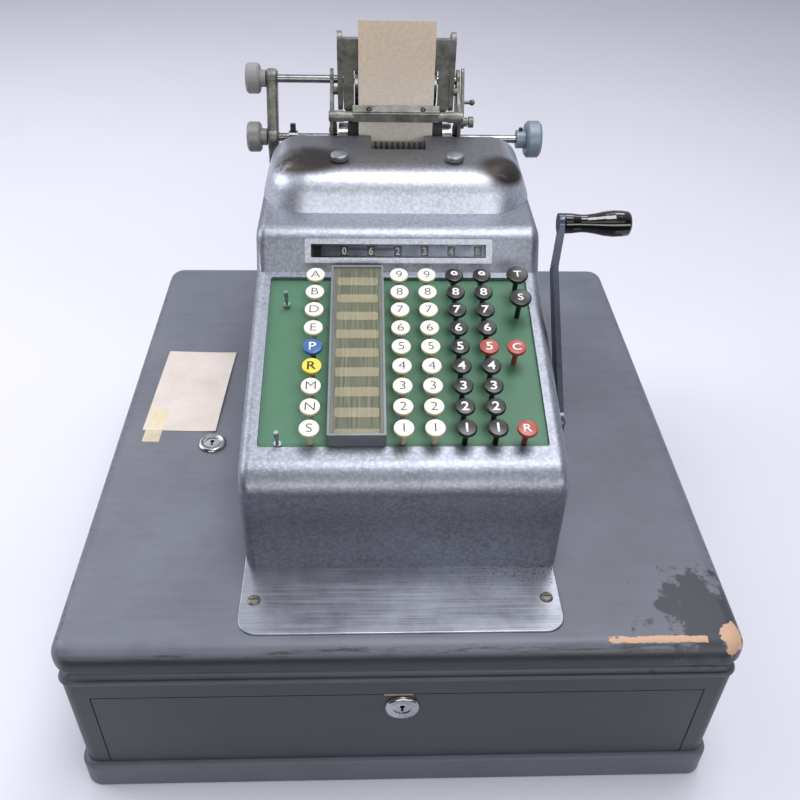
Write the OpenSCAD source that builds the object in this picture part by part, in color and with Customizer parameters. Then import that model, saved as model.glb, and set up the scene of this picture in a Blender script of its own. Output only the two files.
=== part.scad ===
// Full-keyboard adding machine standing on a wooden cash-drawer cabinet.
// Millimetres, +Z up, front towards -Y. The origin is the centre of the cabinet's footprint, on the floor.

/* [Cabinet] */
// Width of the cabinet body across its sides
cab_w = 419; // [400:1:440]
// Depth of the cabinet body, front face to back face
cab_d = 446; // [436:1:470]
// Height of the cabinet, floor to lid top
cab_h = 143; // [139:1:152]
// Thickness of the lid board
lid_t = 19; // [17:0.5:21]
// How far the lid stands out past the body
lid_over = 2; // [1:0.5:4]
// Height of the plinth moulding
plinth_h = 23.5; // [21:0.5:26]
// How far the plinth stands out past the body
plinth_over = 4; // [2:0.5:6]
// Height of the coved moulding under the lid
cove_h = 13; // [11:0.5:15]
// Thickness of the side boards
side_t = 14; // [12:0.5:16]
// Thickness of the face frame and of the drawer front
front_t = 18; // [16:0.5:20]
// Plan radius of the cabinet's upright corners
corner_r = 8; // [5:0.5:12]

/* [Drawer] */
// Width of the face frame's upright parts beside the drawer opening
stile_w = 16.2; // [14.5:0.1:24]
// Height of the drawer opening above the plinth
opening_h = 73.8; // [68:0.2:78]
// Gap between the drawer front and its opening
drawer_gap = 0.7; // [0.4:0.1:1.2]
// Thickness of the drawer's sides and back
drawer_side_t = 10; // [8:0.5:12]
// Height of the drawer's sides
drawer_side_h = 56; // [48:1:60]
// Number of compartments across the till
till_columns = 5; // [4:1:6]

/* [Machine] */
// Width of the machine's cast housing
mach_w = 202; // [198:1:206]
// Depth of the housing, front face to back face
mach_d = 325; // [315:1:335]
// Height of the flat shelf behind the window, above the base plate
shelf_z = 146.7; // [144:0.5:150]
// Set-back of the housing behind the lid's front edge
mach_setback = 65; // [55:1:75]
// Sideways place of the housing on the lid
mach_x = 1.7; // [-4:0.1:4]
// Radius that rounds the housing's long edges
edge_r = 7; // [5:0.5:9]
// Extra edge radius on every second flat of a bend, so that no four faces meet in one point
edge_step = 0.5; // [0.3:0.1:0.7]
// Wall thickness of the housing
wall_t = 3; // [2.6:0.1:3.4]
// Slope of the keyboard
slope_deg = 14.75; // [13:0.25:17]
// Slope of the window's face
face_deg = 60; // [55:1:65]

/* [Keys] */
// Distance between two columns of keys
key_pitch_x = 19.05; // [18.6:0.05:19.4]
// Distance between two rows of keys
key_pitch_y = 16; // [15.6:0.05:16.3]
// Diameter of a key cap
key_d = 12.6; // [11.6:0.1:13]
// Height of the key tops above the keyboard plate
key_rise = 17.5; // [16:0.5:19]
// Diameter of a key stem
stem_d = 3.6; // [3:0.1:4]

/* [Crank] */
// Length of the crank, shaft to handle
crank_len = 138; // [128:1:146]
// Angle of the resting crank above the horizontal
crank_deg = 43.5; // [38:0.5:50]
// Length of the crank's grip
grip_len = 47; // [42:1:60]

/* [Carriage] */
// Radius of the platen roller
platen_r = 15; // [13:0.5:16]
// Width of the paper tape
paper_w = 57.2; // [50:0.2:60]
// Radius of the paper roll
roll_r = 26; // [20:1:27]

/* [Hidden] */
$fn = 48;

// Clearances that the fits share
run_gap = 0.06;
body_gap = 0.3;

// Cabinet heights and inner sizes
lid_z = cab_h - lid_t;
cove_z = lid_z - cove_h;
inner_w = cab_w - 2 * side_t;
inner_d = cab_d - 2 * side_t;
front_y = -cab_d / 2;
board_t = 8;
board_rebate = 7;
board_z = plinth_h - board_t - 1.5;
opening_w = cab_w - 2 * stile_w;

// Lid lock and drawer lock
lid_lock_in = 185.3;
lid_lock_at = [-137.2, front_y + lid_lock_in];
lid_lock_r = 10.5;
lid_plug_r = 5;
lock_r = 11.4;
lock_body_r = 8.5;
lock_plug_r = 5.6;
lock_drop = 13.9;

// Drawer, its runners and the till that lies in it
drawer_inset = 3.3;
drawer_w = opening_w - 2 * drawer_inset;
drawer_d = cab_d - front_t - side_t - 10;
drawer_z = plinth_h + 4;
drawer_floor_t = 5;
runner_h = 10;
runner_z = drawer_z + 18;
runner_depth = 5;
till_wall = 5;
till_h = 46;
till_d = 300;
coin_d = 88;
coin_bowl_r = 58;

// Machine frame: its origin is at the middle of the housing's front foot
plate_t = 1.2;
mach_y = front_y - lid_over + mach_setback;
mach_z = cab_h + plate_t;
wear_w = 201;
wear_front = 13.4;
wear_back = 40;
wear_r = 12;
wear_screw_x = wear_w / 2 - 8.75;
wear_screw_y = -26;
wear_screw_r = 4.2;

// Keyboard frame: its origin is at the top of the first row's keys, and its z axis is square to the slope
kb_y = 24.6;
kb_z = 98.2;
skin_off = wall_t - key_rise;
plate_off = -key_rise;
kb_plate_t = 1.5;
kb_open_w = 180;
kb_open_s0 = -4.4;
key_cap_h = 7;
stem_len = 30;
col0_x = -0.5;
key_rows = 9;
function key_x(c) = col0_x + key_pitch_x * (c - 3);
function key_s(r) = (r - 1) * key_pitch_y;
kb_open_s1 = key_s(key_rows) + 11;
crease_s = kb_open_s1 + 5;
// Total, subtotal, correction and repeat keys as [x, s, rise above the number keys]
big_key_x = key_x(6) + 24.15;
small_key_x = key_x(6) + 17.85;
function_keys = [[big_key_x, key_s(9) - 2, 3], [big_key_x, key_s(8) - 7.5, 3],
    [small_key_x, key_s(5) - 0.5, 0], [small_key_x, key_s(1) - 0.5, 0]];
big_key_d = 15;
post_x = key_x(0) - 19.85;
post_s = [key_s(1) - 1.6, key_s(8) + 1.5];
post_h = 15;

// Housing profile, in the machine frame
front_r = 20;
shelf_r = 14;
slope_sin = sin(slope_deg);
slope_cos = cos(slope_deg);
function slope_z(y, off) = kb_z + (y - kb_y) * tan(slope_deg) + off / slope_cos;
arc_z = slope_z(front_r, skin_off) - front_r / slope_cos;
arc_s = (front_r - kb_y) * slope_cos + (arc_z - kb_z) * slope_sin;
crease_y = kb_y + crease_s * slope_cos - skin_off * slope_sin;
crease_z = kb_z + crease_s * slope_sin + skin_off * slope_cos;
face_len = (shelf_z - crease_z) / sin(face_deg);
shelf_y = crease_y + face_len * cos(face_deg);
shelf_arc_in = shelf_r * tan(face_deg / 2);

// Window in the sloping face, measured up the face from the crease
bezel_w = 132.6;
bezel_h = 17;
bezel_t = 1.6;
bezel_s = 6.4;
pane_w = 123.8;
pane_h = 9.4;
pane_lap = 1.5;
mask_t = 0.8;
window_s = bezel_s + bezel_h / 2;
wheel_r = 15;
wheel_w = 9;
wheel_drop = wall_t + 1.2 + wheel_r;
wheel_y = crease_y + window_s * cos(face_deg) + wheel_drop * sin(face_deg);
wheel_z = crease_z + window_s * sin(face_deg) - wheel_drop * cos(face_deg);
wheel_shaft_r = 2.5;

// Label holder, in the keyboard frame
holder_x = key_x(1.5);
holder_w = 36;
holder_top = -2.4;
holder_wall = 1.5;
holder_floor = -9.5;
label_floor_t = 1.2;
window_rebate = 2;
strip_h = 7.2;
strip_shift = 1.3;
window_t = 1.2;

// Top cover, in the machine frame
cover_y0 = 207;
cover_y1 = 284;
cover_h = 27;
cover_side = 1;
cover_plan_r = 36;
cover_top_r = 24;
cover_lean = 20;
cover_t = 2.5;
notch_x0 = -19;
notch_x1 = 22.5;
notch_y = 258.5;
thumb_x = 42.4;
thumb_y = 238.6;
thumb_r = 6.8;
thumb_shank_r = 2.4;
thumb_shank_len = 20;
thumb_head_h = 5.6;
thumb_boss_r = 5;
thumb_grooves = 24;

// Type bars, in the machine frame
type_bars_n = 9;
type_pitch = 4.3;
type_t = 2;
type_y = 273;
type_d = 8;
type_top = 170;
type_low = 96;
function type_x(i) = (notch_x0 + notch_x1) / 2 + (i - (type_bars_n - 1) / 2) * type_pitch;

// Carriage, in the machine frame
platen_y = 303;
platen_z = 164.3;
platen_half = 37;
shaft_r = 3.1;
roll_y = 323;
roll_z = 203.7;
paper_t = 0.3;
paper_gap = 0.3;
paper_top = 257.5;
paper_lean = 3;
guide_t = 0.8;
frame_x = 48.4;
frame_t = 2.5;
frame_y0 = 289;
frame_y1 = 324;
cradle_x = 44.4;
cradle_y = 294.6;
cradle_z0 = 188;
cradle_z1 = 246.8;
cradle_t = 3.6;
cheek_r = 6;
cheek_drop = 17;
stay_r = 3;
leg_x = 32;
arm_x = -101;
arm_t = 9;
arm_boss_r = 7.5;
arm_web = 12;
arm_foot = [18, 24, 3];
collar_x = -84;
collar_len = 7;
knob_x = -105.8;
knob_t = 10.7;
knob_r = 11.6;
disc_x = 104.7;
disc_t = 12;
disc_r = 14.3;
disc_hub = 7.2;
bar_half = 3.2;
bar_y = platen_y - platen_r - paper_gap - paper_t - body_gap - bar_half;
bar_z = 189;
bar_x = 51.3;
bar_end_r = 3.7;
collar_r = 4.2;
tear_x = 33;
tear_rise = 3.4;
tear_t = 0.9;
bail_pivot = [299, 172];
lever_pivot = [295, 181];
lever_tip = [313, 213];
side_rim = 8;
side_waist_z = 172;
side_brow = [300, 193];
small_pin_r = 2;
stud_len = 10;
stud_head_r = 4.2;
stud_head_t = 3.8;
lever_t = 2.2;
foot_t = 2.5;
cradle_back = 336;
table_t = 2;
leg_w = 8;
neck_z = 220;
core_r = 6;
flange_r = roll_r - 2;
flange_t = 2.6;
platen_core_r = 5;
feed_wheel_r = 11.5;
feed_wheel_t = 7;

// Crank, in the machine frame
crank_y = 74;
crank_z = 61.7;
crank_shaft_r = 5;
boss_out = 3;
boss_in = 8;
boss_r = 10;
crank_x = mach_w / 2 + boss_out + 1;
crank_flare = 5.5;
crank_bar_t = 3.6;
grip_x = crank_x + crank_flare + crank_bar_t + body_gap;
grip_pin_r = 3;
grip_end = 4;
crank_end_r = 3.4;
crank_end = 2;

function arc(c, r, a0, a1, n = 8) = [for (i = [0:n]) c + r * [cos(a0 + (a1 - a0) * i / n), sin(a0 + (a1 - a0) * i / n)]];

// Places children in the machine frame
module at_machine() {
    translate([mach_x, mach_y, mach_z]) children();
}

// Places children in the keyboard frame
module at_keyboard() {
    at_machine() translate([0, kb_y, kb_z]) rotate([slope_deg, 0, 0]) children();
}

// Places children on the window's face, with z square to the face
module at_window() {
    at_machine() translate([0, crease_y, crease_z]) rotate([face_deg, 0, 0]) children();
}

// Turns a shape whose axis is z into one whose axis is x
module along_x() {
    rotate([90, 0, 90]) children();
}

// A cylinder along x, with its low end at the given place
module rod_x(at, r, len) {
    translate(at) rotate([0, 90, 0]) cylinder(r = r, h = len);
}

// A rectangle with rounded corners
module round_rect(w, d, r) {
    square([w - 2 * r, d], center = true);
    square([w, d - 2 * r], center = true);
    for (x = [-1, 1], y = [-1, 1]) translate([x * (w / 2 - r), y * (d / 2 - r)]) circle(r);
}

// A convex outline, counter-clockwise, whose corners are circles about the given points
module rounded(centres, r) {
    n = len(centres);
    out = [for (i = [0:n - 1]) let (d = centres[(i + 1) % n] - centres[i]) r * [d[1], -d[0]] / norm(d)];
    polygon([for (i = [0:n - 1]) each [centres[i] + out[(i + n - 1) % n], centres[i] + out[i]]]);
    for (c = centres) translate(c) circle(r);
}

// A box with rounded upright corners, centred in plan
module round_box(w, d, h, r) {
    linear_extrude(h) round_rect(w, d, r);
}

// Carries the child profile round a rounded rectangle; the profile's x runs outwards from the corner's centre
module sweep_frame(w, d, r) {
    for (k = [0:3]) {
        across = k % 2 == 0 ? w : d;
        along = k % 2 == 0 ? d : w;
        rotate([0, 0, 90 * k]) {
            translate([across / 2 - r, 0, 0]) rotate([90, 0, 0])
                linear_extrude(along - 2 * r, center = true) children();
            translate([across / 2 - r, along / 2 - r, 0]) rotate_extrude(angle = 90) children();
        }
    }
}

// Edge of a board: square inside, rounded above and below outside
module board_edge(r, h, top_r, low_r) {
    square([r - max(top_r, low_r), h]);
    translate([0, low_r]) square([r, h - top_r - low_r]);
    intersection() {
        translate([r - top_r, h - top_r]) circle(top_r);
        translate([0, h - top_r]) square([r, top_r]);
    }
    intersection() {
        translate([r - low_r, low_r]) circle(low_r);
        square([r, low_r]);
    }
    square([r - low_r, h / 2]);
    translate([0, h / 2]) square([r - top_r, h / 2]);
}

// Two side boards and the back board, glued up as one carcase
module cabinet_carcass() {
    color("slategray") translate([0, 0, plinth_h]) difference() {
        round_box(cab_w, cab_d, cove_z - plinth_h, corner_r);
        translate([-inner_w / 2, front_y - 1, -1]) cube([inner_w, cab_d - side_t + 1, cab_h]);
        translate([-cab_w, front_y - 1, -1]) cube([2 * cab_w, front_t + 1, cab_h]);
    }
}

// Stiles and top rail round the drawer opening
module face_frame() {
    color("slategray") translate([0, 0, plinth_h]) difference() {
        linear_extrude(cove_z - plinth_h) intersection() {
            round_rect(cab_w, cab_d, corner_r);
            translate([-cab_w, front_y - 1]) square([2 * cab_w, front_t + 1]);
        }
        translate([-opening_w / 2, front_y - 1, -1]) cube([opening_w, front_t + 2, opening_h + 1]);
    }
}

// Base moulding with a bead along its top and a rebate for the bottom board
module plinth() {
    outer_w = cab_w + 2 * plinth_over;
    outer_d = cab_d + 2 * plinth_over;
    r = corner_r + plinth_over;
    color("slategray") difference() {
        union() {
            sweep_frame(outer_w, outer_d, r) board_edge(r, plinth_h, 4, 1);
            translate([0, 0, plinth_h / 2])
                cube([outer_w - 2 * r, outer_d - 2 * r, plinth_h], center = true);
        }
        translate([0, 0, plinth_h / 2]) cube([inner_w, inner_d, plinth_h + 2], center = true);
        translate([0, 0, board_z + plinth_h / 2])
            cube([inner_w + 2 * board_rebate, inner_d + 2 * board_rebate, plinth_h], center = true);
    }
}

// Thin board that closes the cabinet's bottom, let into the plinth
module bottom_board() {
    color("burlywood") translate([0, 0, board_z + board_t / 2])
        cube([inner_w + 2 * board_rebate - 0.6, inner_d + 2 * board_rebate - 0.6, board_t], center = true);
}

// Moulding under the lid: a bead below and a cove above
module cove_profile(r) {
    bead = 1.8;
    cove = 5.4;
    difference() {
        square([r - 0.6, cove_h]);
        translate([r + 1.4, cove_h - cove + 0.6]) circle(cove);
    }
    translate([r - 0.6, bead]) circle(bead);
}

module cove_moulding() {
    color("dimgray") translate([0, 0, cove_z]) difference() {
        union() {
            sweep_frame(cab_w, cab_d, corner_r) cove_profile(corner_r);
            translate([0, 0, cove_h / 2])
                cube([cab_w - 2 * corner_r, cab_d - 2 * corner_r, cove_h], center = true);
        }
        translate([0, 0, cove_h / 2]) cube([inner_w, inner_d, cove_h + 2], center = true);
    }
}

// Lid board with a bullnose edge, bored for its lock
module cabinet_lid() {
    w = cab_w + 2 * lid_over;
    d = cab_d + 2 * lid_over;
    r = 14;
    color("slategray") difference() {
        translate([0, 0, lid_z]) union() {
            sweep_frame(w, d, r) board_edge(r, lid_t, 11, 4);
            translate([0, 0, lid_t / 2]) cube([w - 2 * r, d - 2 * r, lid_t], center = true);
        }
        translate([lid_lock_at[0], lid_lock_at[1], lid_z - 1]) cylinder(r = lid_plug_r + 2.5, h = lid_t + 2);
    }
}

// Hardwood strips that carry the drawer by the grooves in its sides
module drawer_runners() {
    y0 = front_y + front_t + 4;
    color("burlywood") for (m = [0, 1]) mirror([m, 0, 0])
        translate([drawer_w / 2 - runner_depth + body_gap, y0, runner_z])
            cube([inner_w / 2 - drawer_w / 2 + runner_depth - body_gap, drawer_d - 10, runner_h]);
}

// Drawer front with a bore for its lock
module drawer_front() {
    w = opening_w - 2 * drawer_gap;
    h = opening_h - 2 * drawer_gap;
    color("slategray") difference() {
        translate([-w / 2, front_y, plinth_h + drawer_gap]) cube([w, front_t, h]);
        translate([0, front_y - 1, lock_z()]) rotate([-90, 0, 0]) cylinder(r = lock_body_r, h = front_t + 2);
    }
}

function lock_z() = plinth_h + opening_h - lock_drop;

// Drawer sides, back and floor, with a groove in each side
module drawer_box() {
    y0 = front_y + front_t;
    color("burlywood") difference() {
        translate([-drawer_w / 2, y0, drawer_z]) cube([drawer_w, drawer_d, drawer_side_h]);
        translate([-drawer_w / 2 + drawer_side_t, y0 - 1, drawer_z + drawer_floor_t])
            cube([drawer_w - 2 * drawer_side_t, drawer_d - drawer_side_t + 1, drawer_side_h]);
        for (m = [0, 1]) mirror([m, 0, 0])
            translate([drawer_w / 2 - runner_depth, y0 + 4 - body_gap, runner_z - body_gap])
                cube([runner_depth + 1, drawer_d, runner_h + 2 * body_gap]);
    }
}

// Till with coin bowls in front and note slots behind
module till_tray() {
    w = drawer_w - 2 * drawer_side_t - 2 * body_gap;
    pitch = (w - till_wall) / till_columns;
    y0 = front_y + front_t + body_gap;
    z0 = drawer_z + drawer_floor_t;
    color("peru") difference() {
        translate([-w / 2, y0, z0]) cube([w, till_d, till_h]);
        for (i = [0:till_columns - 1]) translate([-w / 2 + till_wall + pitch * i, y0, z0]) {
            intersection() {
                translate([0, till_wall, till_wall]) cube([pitch - till_wall, coin_d, till_h]);
                rod_x([-1, till_wall + coin_d / 2, till_wall + coin_bowl_r], coin_bowl_r, pitch);
            }
            translate([0, coin_d + 2 * till_wall, till_wall])
                cube([pitch - till_wall, till_d - coin_d - 3 * till_wall, till_h]);
        }
    }
}

// Case of a round lock: a domed ring on a drilled barrel, drawn along z with its face up
module lock_case(ring_r, body_r, plug_r, depth) {
    difference() {
        union() {
            rotate_extrude() polygon(concat([[0, 0], [ring_r, 0]],
                arc([ring_r - 2.2, 0.4], 2.2, 0, 90), [[plug_r + 1, 2], [0, 2]]));
            translate([0, 0, -depth]) cylinder(r = body_r, h = depth);
        }
        translate([0, 0, -depth + 2]) cylinder(r = plug_r + run_gap, h = depth + 6);
    }
}

// Plug of a lock with its keyway
module lock_plug(plug_r, depth) {
    difference() {
        translate([0, 0, -depth + 2 + body_gap]) cylinder(r = plug_r, h = depth - 2 - body_gap + 1.4);
        translate([0, plug_r * 0.25, -5]) cylinder(r = plug_r * 0.3, h = 10);
        translate([-plug_r * 0.13, -plug_r * 0.6, -5]) cube([plug_r * 0.26, plug_r * 0.8, 10]);
    }
}

module at_drawer_lock() {
    translate([1, front_y, lock_z()]) rotate([90, 0, 0]) children();
}

module drawer_lock_case() {
    color("silver") at_drawer_lock() lock_case(lock_r, lock_body_r - run_gap, lock_plug_r, front_t - 1);
}

module drawer_lock_plug() {
    color("gainsboro") at_drawer_lock() lock_plug(lock_plug_r, front_t - 1);
}

module lid_lock_case() {
    color("silver") translate([lid_lock_at[0], lid_lock_at[1], cab_h])
        lock_case(lid_lock_r, lid_plug_r + 2.5 - run_gap, lid_plug_r, lid_t - 1);
}

module lid_lock_plug() {
    color("gainsboro") translate([lid_lock_at[0], lid_lock_at[1], cab_h]) lock_plug(lid_plug_r, lid_t - 1);
}

// Bright plate on the lid where the hands work, with its end under the machine
module wear_plate() {
    len = mach_setback - wear_front + wear_back;
    color("lightgray") difference() {
        translate([0, front_y - lid_over + wear_front + len / 2, cab_h]) round_box(wear_w, len, plate_t, wear_r);
        for (x = [-1, 1]) translate([x * wear_screw_x, mach_y + wear_screw_y, cab_h - 1])
            cylinder(r = wear_screw_r / 2, h = plate_t + 2);
    }
}

// Slotted, slightly domed screws of the wear plate
module wear_plate_screws() {
    color("silver") for (x = [-1, 1]) translate([x * wear_screw_x, mach_y + wear_screw_y, mach_z]) difference() {
        union() {
            rotate_extrude() polygon([[0, 0], [wear_screw_r, 0], [wear_screw_r * 0.93, 0.6], [wear_screw_r * 0.7, 1.2],
                [0, 1.5]]);
            translate([0, 0, -plate_t]) cylinder(r = wear_screw_r / 2 - run_gap, h = plate_t + 0.5);
        }
        translate([-wear_screw_r - 1, -0.5, 0.8]) cube([2 * wear_screw_r + 2, 1, 2]);
    }
}

// Flat pan under the machine
module base_plate() {
    color("gray") at_machine() translate([-mach_w / 2, wear_back + body_gap, -plate_t])
        cube([mach_w, mach_d - wear_back - body_gap, plate_t]);
}

// Long block as wide as the housing, its two upper long edges rounded; its top touches the circle of radius r
// about the given point, where the circle's slope is as given
module edge_block(at, r, slope, round_r) {
    reach = 2 * mach_d;
    translate(at) rotate([slope, 0, 0]) translate([0, reach / 2, r - reach]) rotate([90, 0, 0]) linear_extrude(reach) {
        translate([-mach_w / 2, 0]) square([mach_w, reach - round_r]);
        translate([round_r - mach_w / 2, 0]) square([mach_w - 2 * round_r, reach]);
        for (x = [-1, 1]) translate([x * (mach_w / 2 - round_r), reach - round_r]) circle(round_r);
    }
}

// What the blocks round a bend have in common, so that the bend is a row of narrow flats
module bend_form(at, r, from, to, n, first) {
    intersection_for(i = [0:n])
        edge_block(at, r, from + (to - from) * i / n, edge_r + edge_step * ((i + first) % 2));
}

// Where the slope and the window's face meet, moved inwards by o
function inner_crease(o) =
    let (y = crease_y + o * sin(face_deg), z = crease_z - o * cos(face_deg),
        t = (slope_z(y, skin_off - o) - z) / (sin(face_deg) - tan(slope_deg) * cos(face_deg)))
    [y + t * cos(face_deg), z + t * sin(face_deg)];

// Side outline of the housing, moved inwards by o, with its foot at the given height
function side_outline(o, foot) = concat([[o, foot]], arc([front_r, arc_z], front_r - o, 180, 90 + slope_deg),
    [inner_crease(o)], arc([shelf_y + shelf_arc_in, shelf_z - shelf_r], shelf_r - o, 90 + face_deg, 90),
    arc([mach_d - shelf_r, shelf_z - shelf_r], shelf_r - o, 90, 0), [[mach_d - o, foot]]);

// The housing's outer form as a solid: the keyboard's part in front and the window's part behind it
module housing_form() {
    intersection() {
        bend_form([0, front_r, arc_z], front_r, slope_deg, 90, 5, 0);
        translate([-mach_w, -1, 0]) cube([2 * mach_w, shelf_y + shelf_arc_in + 1, mach_d]);
    }
    intersection() {
        bend_form([0, shelf_y + shelf_arc_in, shelf_z - shelf_r], shelf_r, face_deg, 0, 6, 1);
        bend_form([0, mach_d - shelf_r, shelf_z - shelf_r], shelf_r, -10, -90, 8, 0);
        translate([-mach_w, 0, 0]) cube([2 * mach_w, mach_d + 1, mach_d]);
    }
}

// Cast housing: a shell open below, with the keyboard opening, the window, the type slot and the crank's boss
module housing() {
    color("silver") at_machine() difference() {
        union() {
            difference() {
                housing_form();
                along_x() linear_extrude(mach_w - 2 * wall_t, center = true)
                    polygon(side_outline(wall_t, -1));
            }
            rod_x([mach_w / 2 - wall_t - boss_in, crank_y, crank_z], boss_r, wall_t + boss_in + boss_out);
        }
        translate([0, kb_y, kb_z]) rotate([slope_deg, 0, 0])
            translate([0, (kb_open_s0 + kb_open_s1) / 2, skin_off - wall_t - 2])
                round_box(kb_open_w, kb_open_s1 - kb_open_s0, wall_t + 4, 2);
        translate([0, crease_y, crease_z]) rotate([face_deg, 0, 0]) translate([0, window_s, -wall_t - 2])
            round_box(pane_w + 2 * pane_lap + 2 * body_gap, pane_h + 2 * pane_lap + 2 * body_gap, wall_t + 3, 1);
        translate([type_x(0) - type_pitch, type_y - body_gap, shelf_z - wall_t - 1])
            cube([type_pitch * (type_bars_n + 1), type_d + 2 * body_gap, wall_t + 2]);
        rod_x([0, crank_y, crank_z], crank_shaft_r + run_gap, mach_w);
    }
}

// Every key's place in the keyboard frame, as [x, s]
function key_places() = concat([for (c = [0, 3, 4, 5, 6], r = [1:key_rows]) [key_x(c), key_s(r)]],
    [for (k = function_keys) [k[0], k[1]]]);

// Painted plate that guides the key stems, held against the underside of the housing's opening
module keyboard_plate() {
    margin = 4;
    s0 = kb_open_s0 - margin;
    s1 = kb_open_s1 + margin;
    color("seagreen") at_keyboard() difference() {
        translate([0, (s0 + s1) / 2, plate_off - kb_plate_t]) round_box(kb_open_w + 2 * margin, s1 - s0, kb_plate_t, 3);
        for (p = key_places()) translate([p[0], p[1], plate_off - kb_plate_t - 1])
            cylinder(r = stem_d / 2 + run_gap, h = kb_plate_t + 2);
    }
}

// One key: a dished cap that tapers to its stem
module key_at(x, s, rise, d) {
    r = d / 2;
    at_keyboard() translate([x, s, rise]) {
        rotate_extrude() polygon([[0, -0.5], [r - 1.7, -0.4], [r - 1.1, 0], [r - 0.4, -0.3], [r, -1.1],
            [r - 0.2, -2.4], [r - 1.8, -key_cap_h + 0.7], [stem_d / 2 + 1, -key_cap_h], [0, -key_cap_h]]);
        translate([0, 0, -stem_len - rise]) cylinder(r = stem_d / 2, h = stem_len + rise - key_cap_h + 0.5);
    }
}

module key_column(c) {
    for (r = [1:key_rows]) key_at(key_x(c), key_s(r), 0, key_d);
}

module function_key(i, d) {
    key_at(function_keys[i][0], function_keys[i][1], function_keys[i][2], d);
}

module letter_keys() {
    color("ivory") key_column(0);
}

module number_keys_1() {
    color("ivory") key_column(3);
}

module number_keys_2() {
    color("ivory") key_column(4);
}

module number_keys_3() {
    color("#222222") key_column(5);
}

module number_keys_4() {
    color("#222222") key_column(6);
}

module total_key() {
    color("#222222") function_key(0, big_key_d);
}

module subtotal_key() {
    color("#222222") function_key(1, big_key_d);
}

module correction_key() {
    color("firebrick") function_key(2, key_d);
}

module repeat_key() {
    color("firebrick") function_key(3, key_d);
}

// Two small posts that stand on the keyboard plate beside the letter keys
module plate_posts() {
    color("silver") at_keyboard() for (s = post_s) translate([post_x, s, plate_off]) {
        cylinder(r = 2.4, h = post_h * 0.2);
        cylinder(r = 1.1, h = post_h * 0.8);
        translate([0, 0, post_h * 0.67]) cylinder(r = 1.5, h = post_h * 0.33);
    }
}

// Frame round the window, lying on the sloping face
module window_bezel() {
    color("silver") at_window() translate([0, window_s, 0]) difference() {
        round_box(bezel_w, bezel_h, bezel_t, 1.5);
        translate([0, 0, -1]) round_box(pane_w, pane_h, bezel_t + 2, 0.5);
    }
}

// Pane under the frame
module window_glass() {
    color("lightcyan") at_window() translate([0, window_s, mask_t - wall_t])
        round_box(pane_w + 2 * pane_lap, pane_h + 2 * pane_lap, wall_t - mask_t, 0.7);
}

// Mask behind the pane, with an opening for each number wheel and a spare one on the left
module window_mask() {
    color("#333340") at_window() translate([0, window_s, -wall_t]) difference() {
        round_box(pane_w + 2 * pane_lap, pane_h + 2 * pane_lap, mask_t, 0.7);
        for (c = [0:6]) translate([key_x(c), 0, mask_t / 2]) cube([5.6, 7, mask_t + 1], center = true);
    }
}

// Number wheels and their shaft, with a sleeve between each two wheels
module number_wheel(c) {
    color("#222222") at_machine() difference() {
        rod_x([key_x(c) - wheel_w / 2, wheel_y, wheel_z], wheel_r, wheel_w);
        rod_x([key_x(c) - wheel_w, wheel_y, wheel_z], wheel_shaft_r + run_gap, 2 * wheel_w);
        for (m = [-1, 1]) translate([key_x(c) + m * wheel_w / 2, wheel_y, wheel_z]) rotate([0, 90, 0]) difference() {
            cylinder(r = wheel_r - 2.5, h = 4, center = true);
            cylinder(r = wheel_shaft_r + 2.5, h = 5, center = true);
        }
    }
}

module number_wheel_1() {
    number_wheel(1);
}

module number_wheel_2() {
    number_wheel(2);
}

module number_wheel_3() {
    number_wheel(3);
}

module number_wheel_4() {
    number_wheel(4);
}

module number_wheel_5() {
    number_wheel(5);
}

module number_wheel_6() {
    number_wheel(6);
}

module wheel_shaft() {
    span = mach_w / 2 - wall_t;
    color("silver") at_machine() {
        rod_x([-span, wheel_y, wheel_z], wheel_shaft_r, 2 * span);
        for (c = [0:6]) rod_x([key_x(c) + wheel_w / 2 + body_gap, wheel_y, wheel_z], wheel_shaft_r + 1.5,
            key_pitch_x - wheel_w - 2 * body_gap);
    }
}

// Channel that stands on the keyboard plate beside the number keys: walls, floor and a rebate for its window
module label_holder() {
    len = kb_open_s1 - kb_open_s0 - 2 * body_gap;
    in_w = holder_w - 2 * holder_wall;
    in_len = len - 2 * holder_wall;
    floor_h = holder_floor - plate_off;
    color("silver") at_keyboard() translate([holder_x, kb_open_s0 + body_gap + len / 2, plate_off]) difference() {
        round_box(holder_w, len, holder_top - plate_off, 0.8);
        translate([0, 0, -1]) round_box(in_w, in_len, floor_h - label_floor_t + 1, 0.3);
        translate([0, 0, floor_h]) round_box(in_w - 2 * holder_wall, in_len, key_rise, 0.3);
        translate([0, 0, holder_top - plate_off - window_rebate]) round_box(in_w, in_len, window_rebate + 1, 0.3);
    }
}

// Celluloid window of the label holder
module label_window() {
    color("darkkhaki") at_keyboard()
        translate([holder_x, (kb_open_s0 + kb_open_s1) / 2, holder_top - window_rebate])
            round_box(holder_w - 2 * holder_wall - body_gap, kb_open_s1 - kb_open_s0 - 2 * holder_wall - 3 * body_gap,
                window_t, 0.3);
}

// Nine card labels, one to a row of keys, on the holder's floor
module label_strips() {
    w = holder_w - 4 * holder_wall - 2;
    color("tan") at_keyboard() for (r = [1:key_rows])
        translate([holder_x, key_s(r) + strip_shift, holder_floor]) round_box(w, strip_h, 1, 1.6);
}

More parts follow.
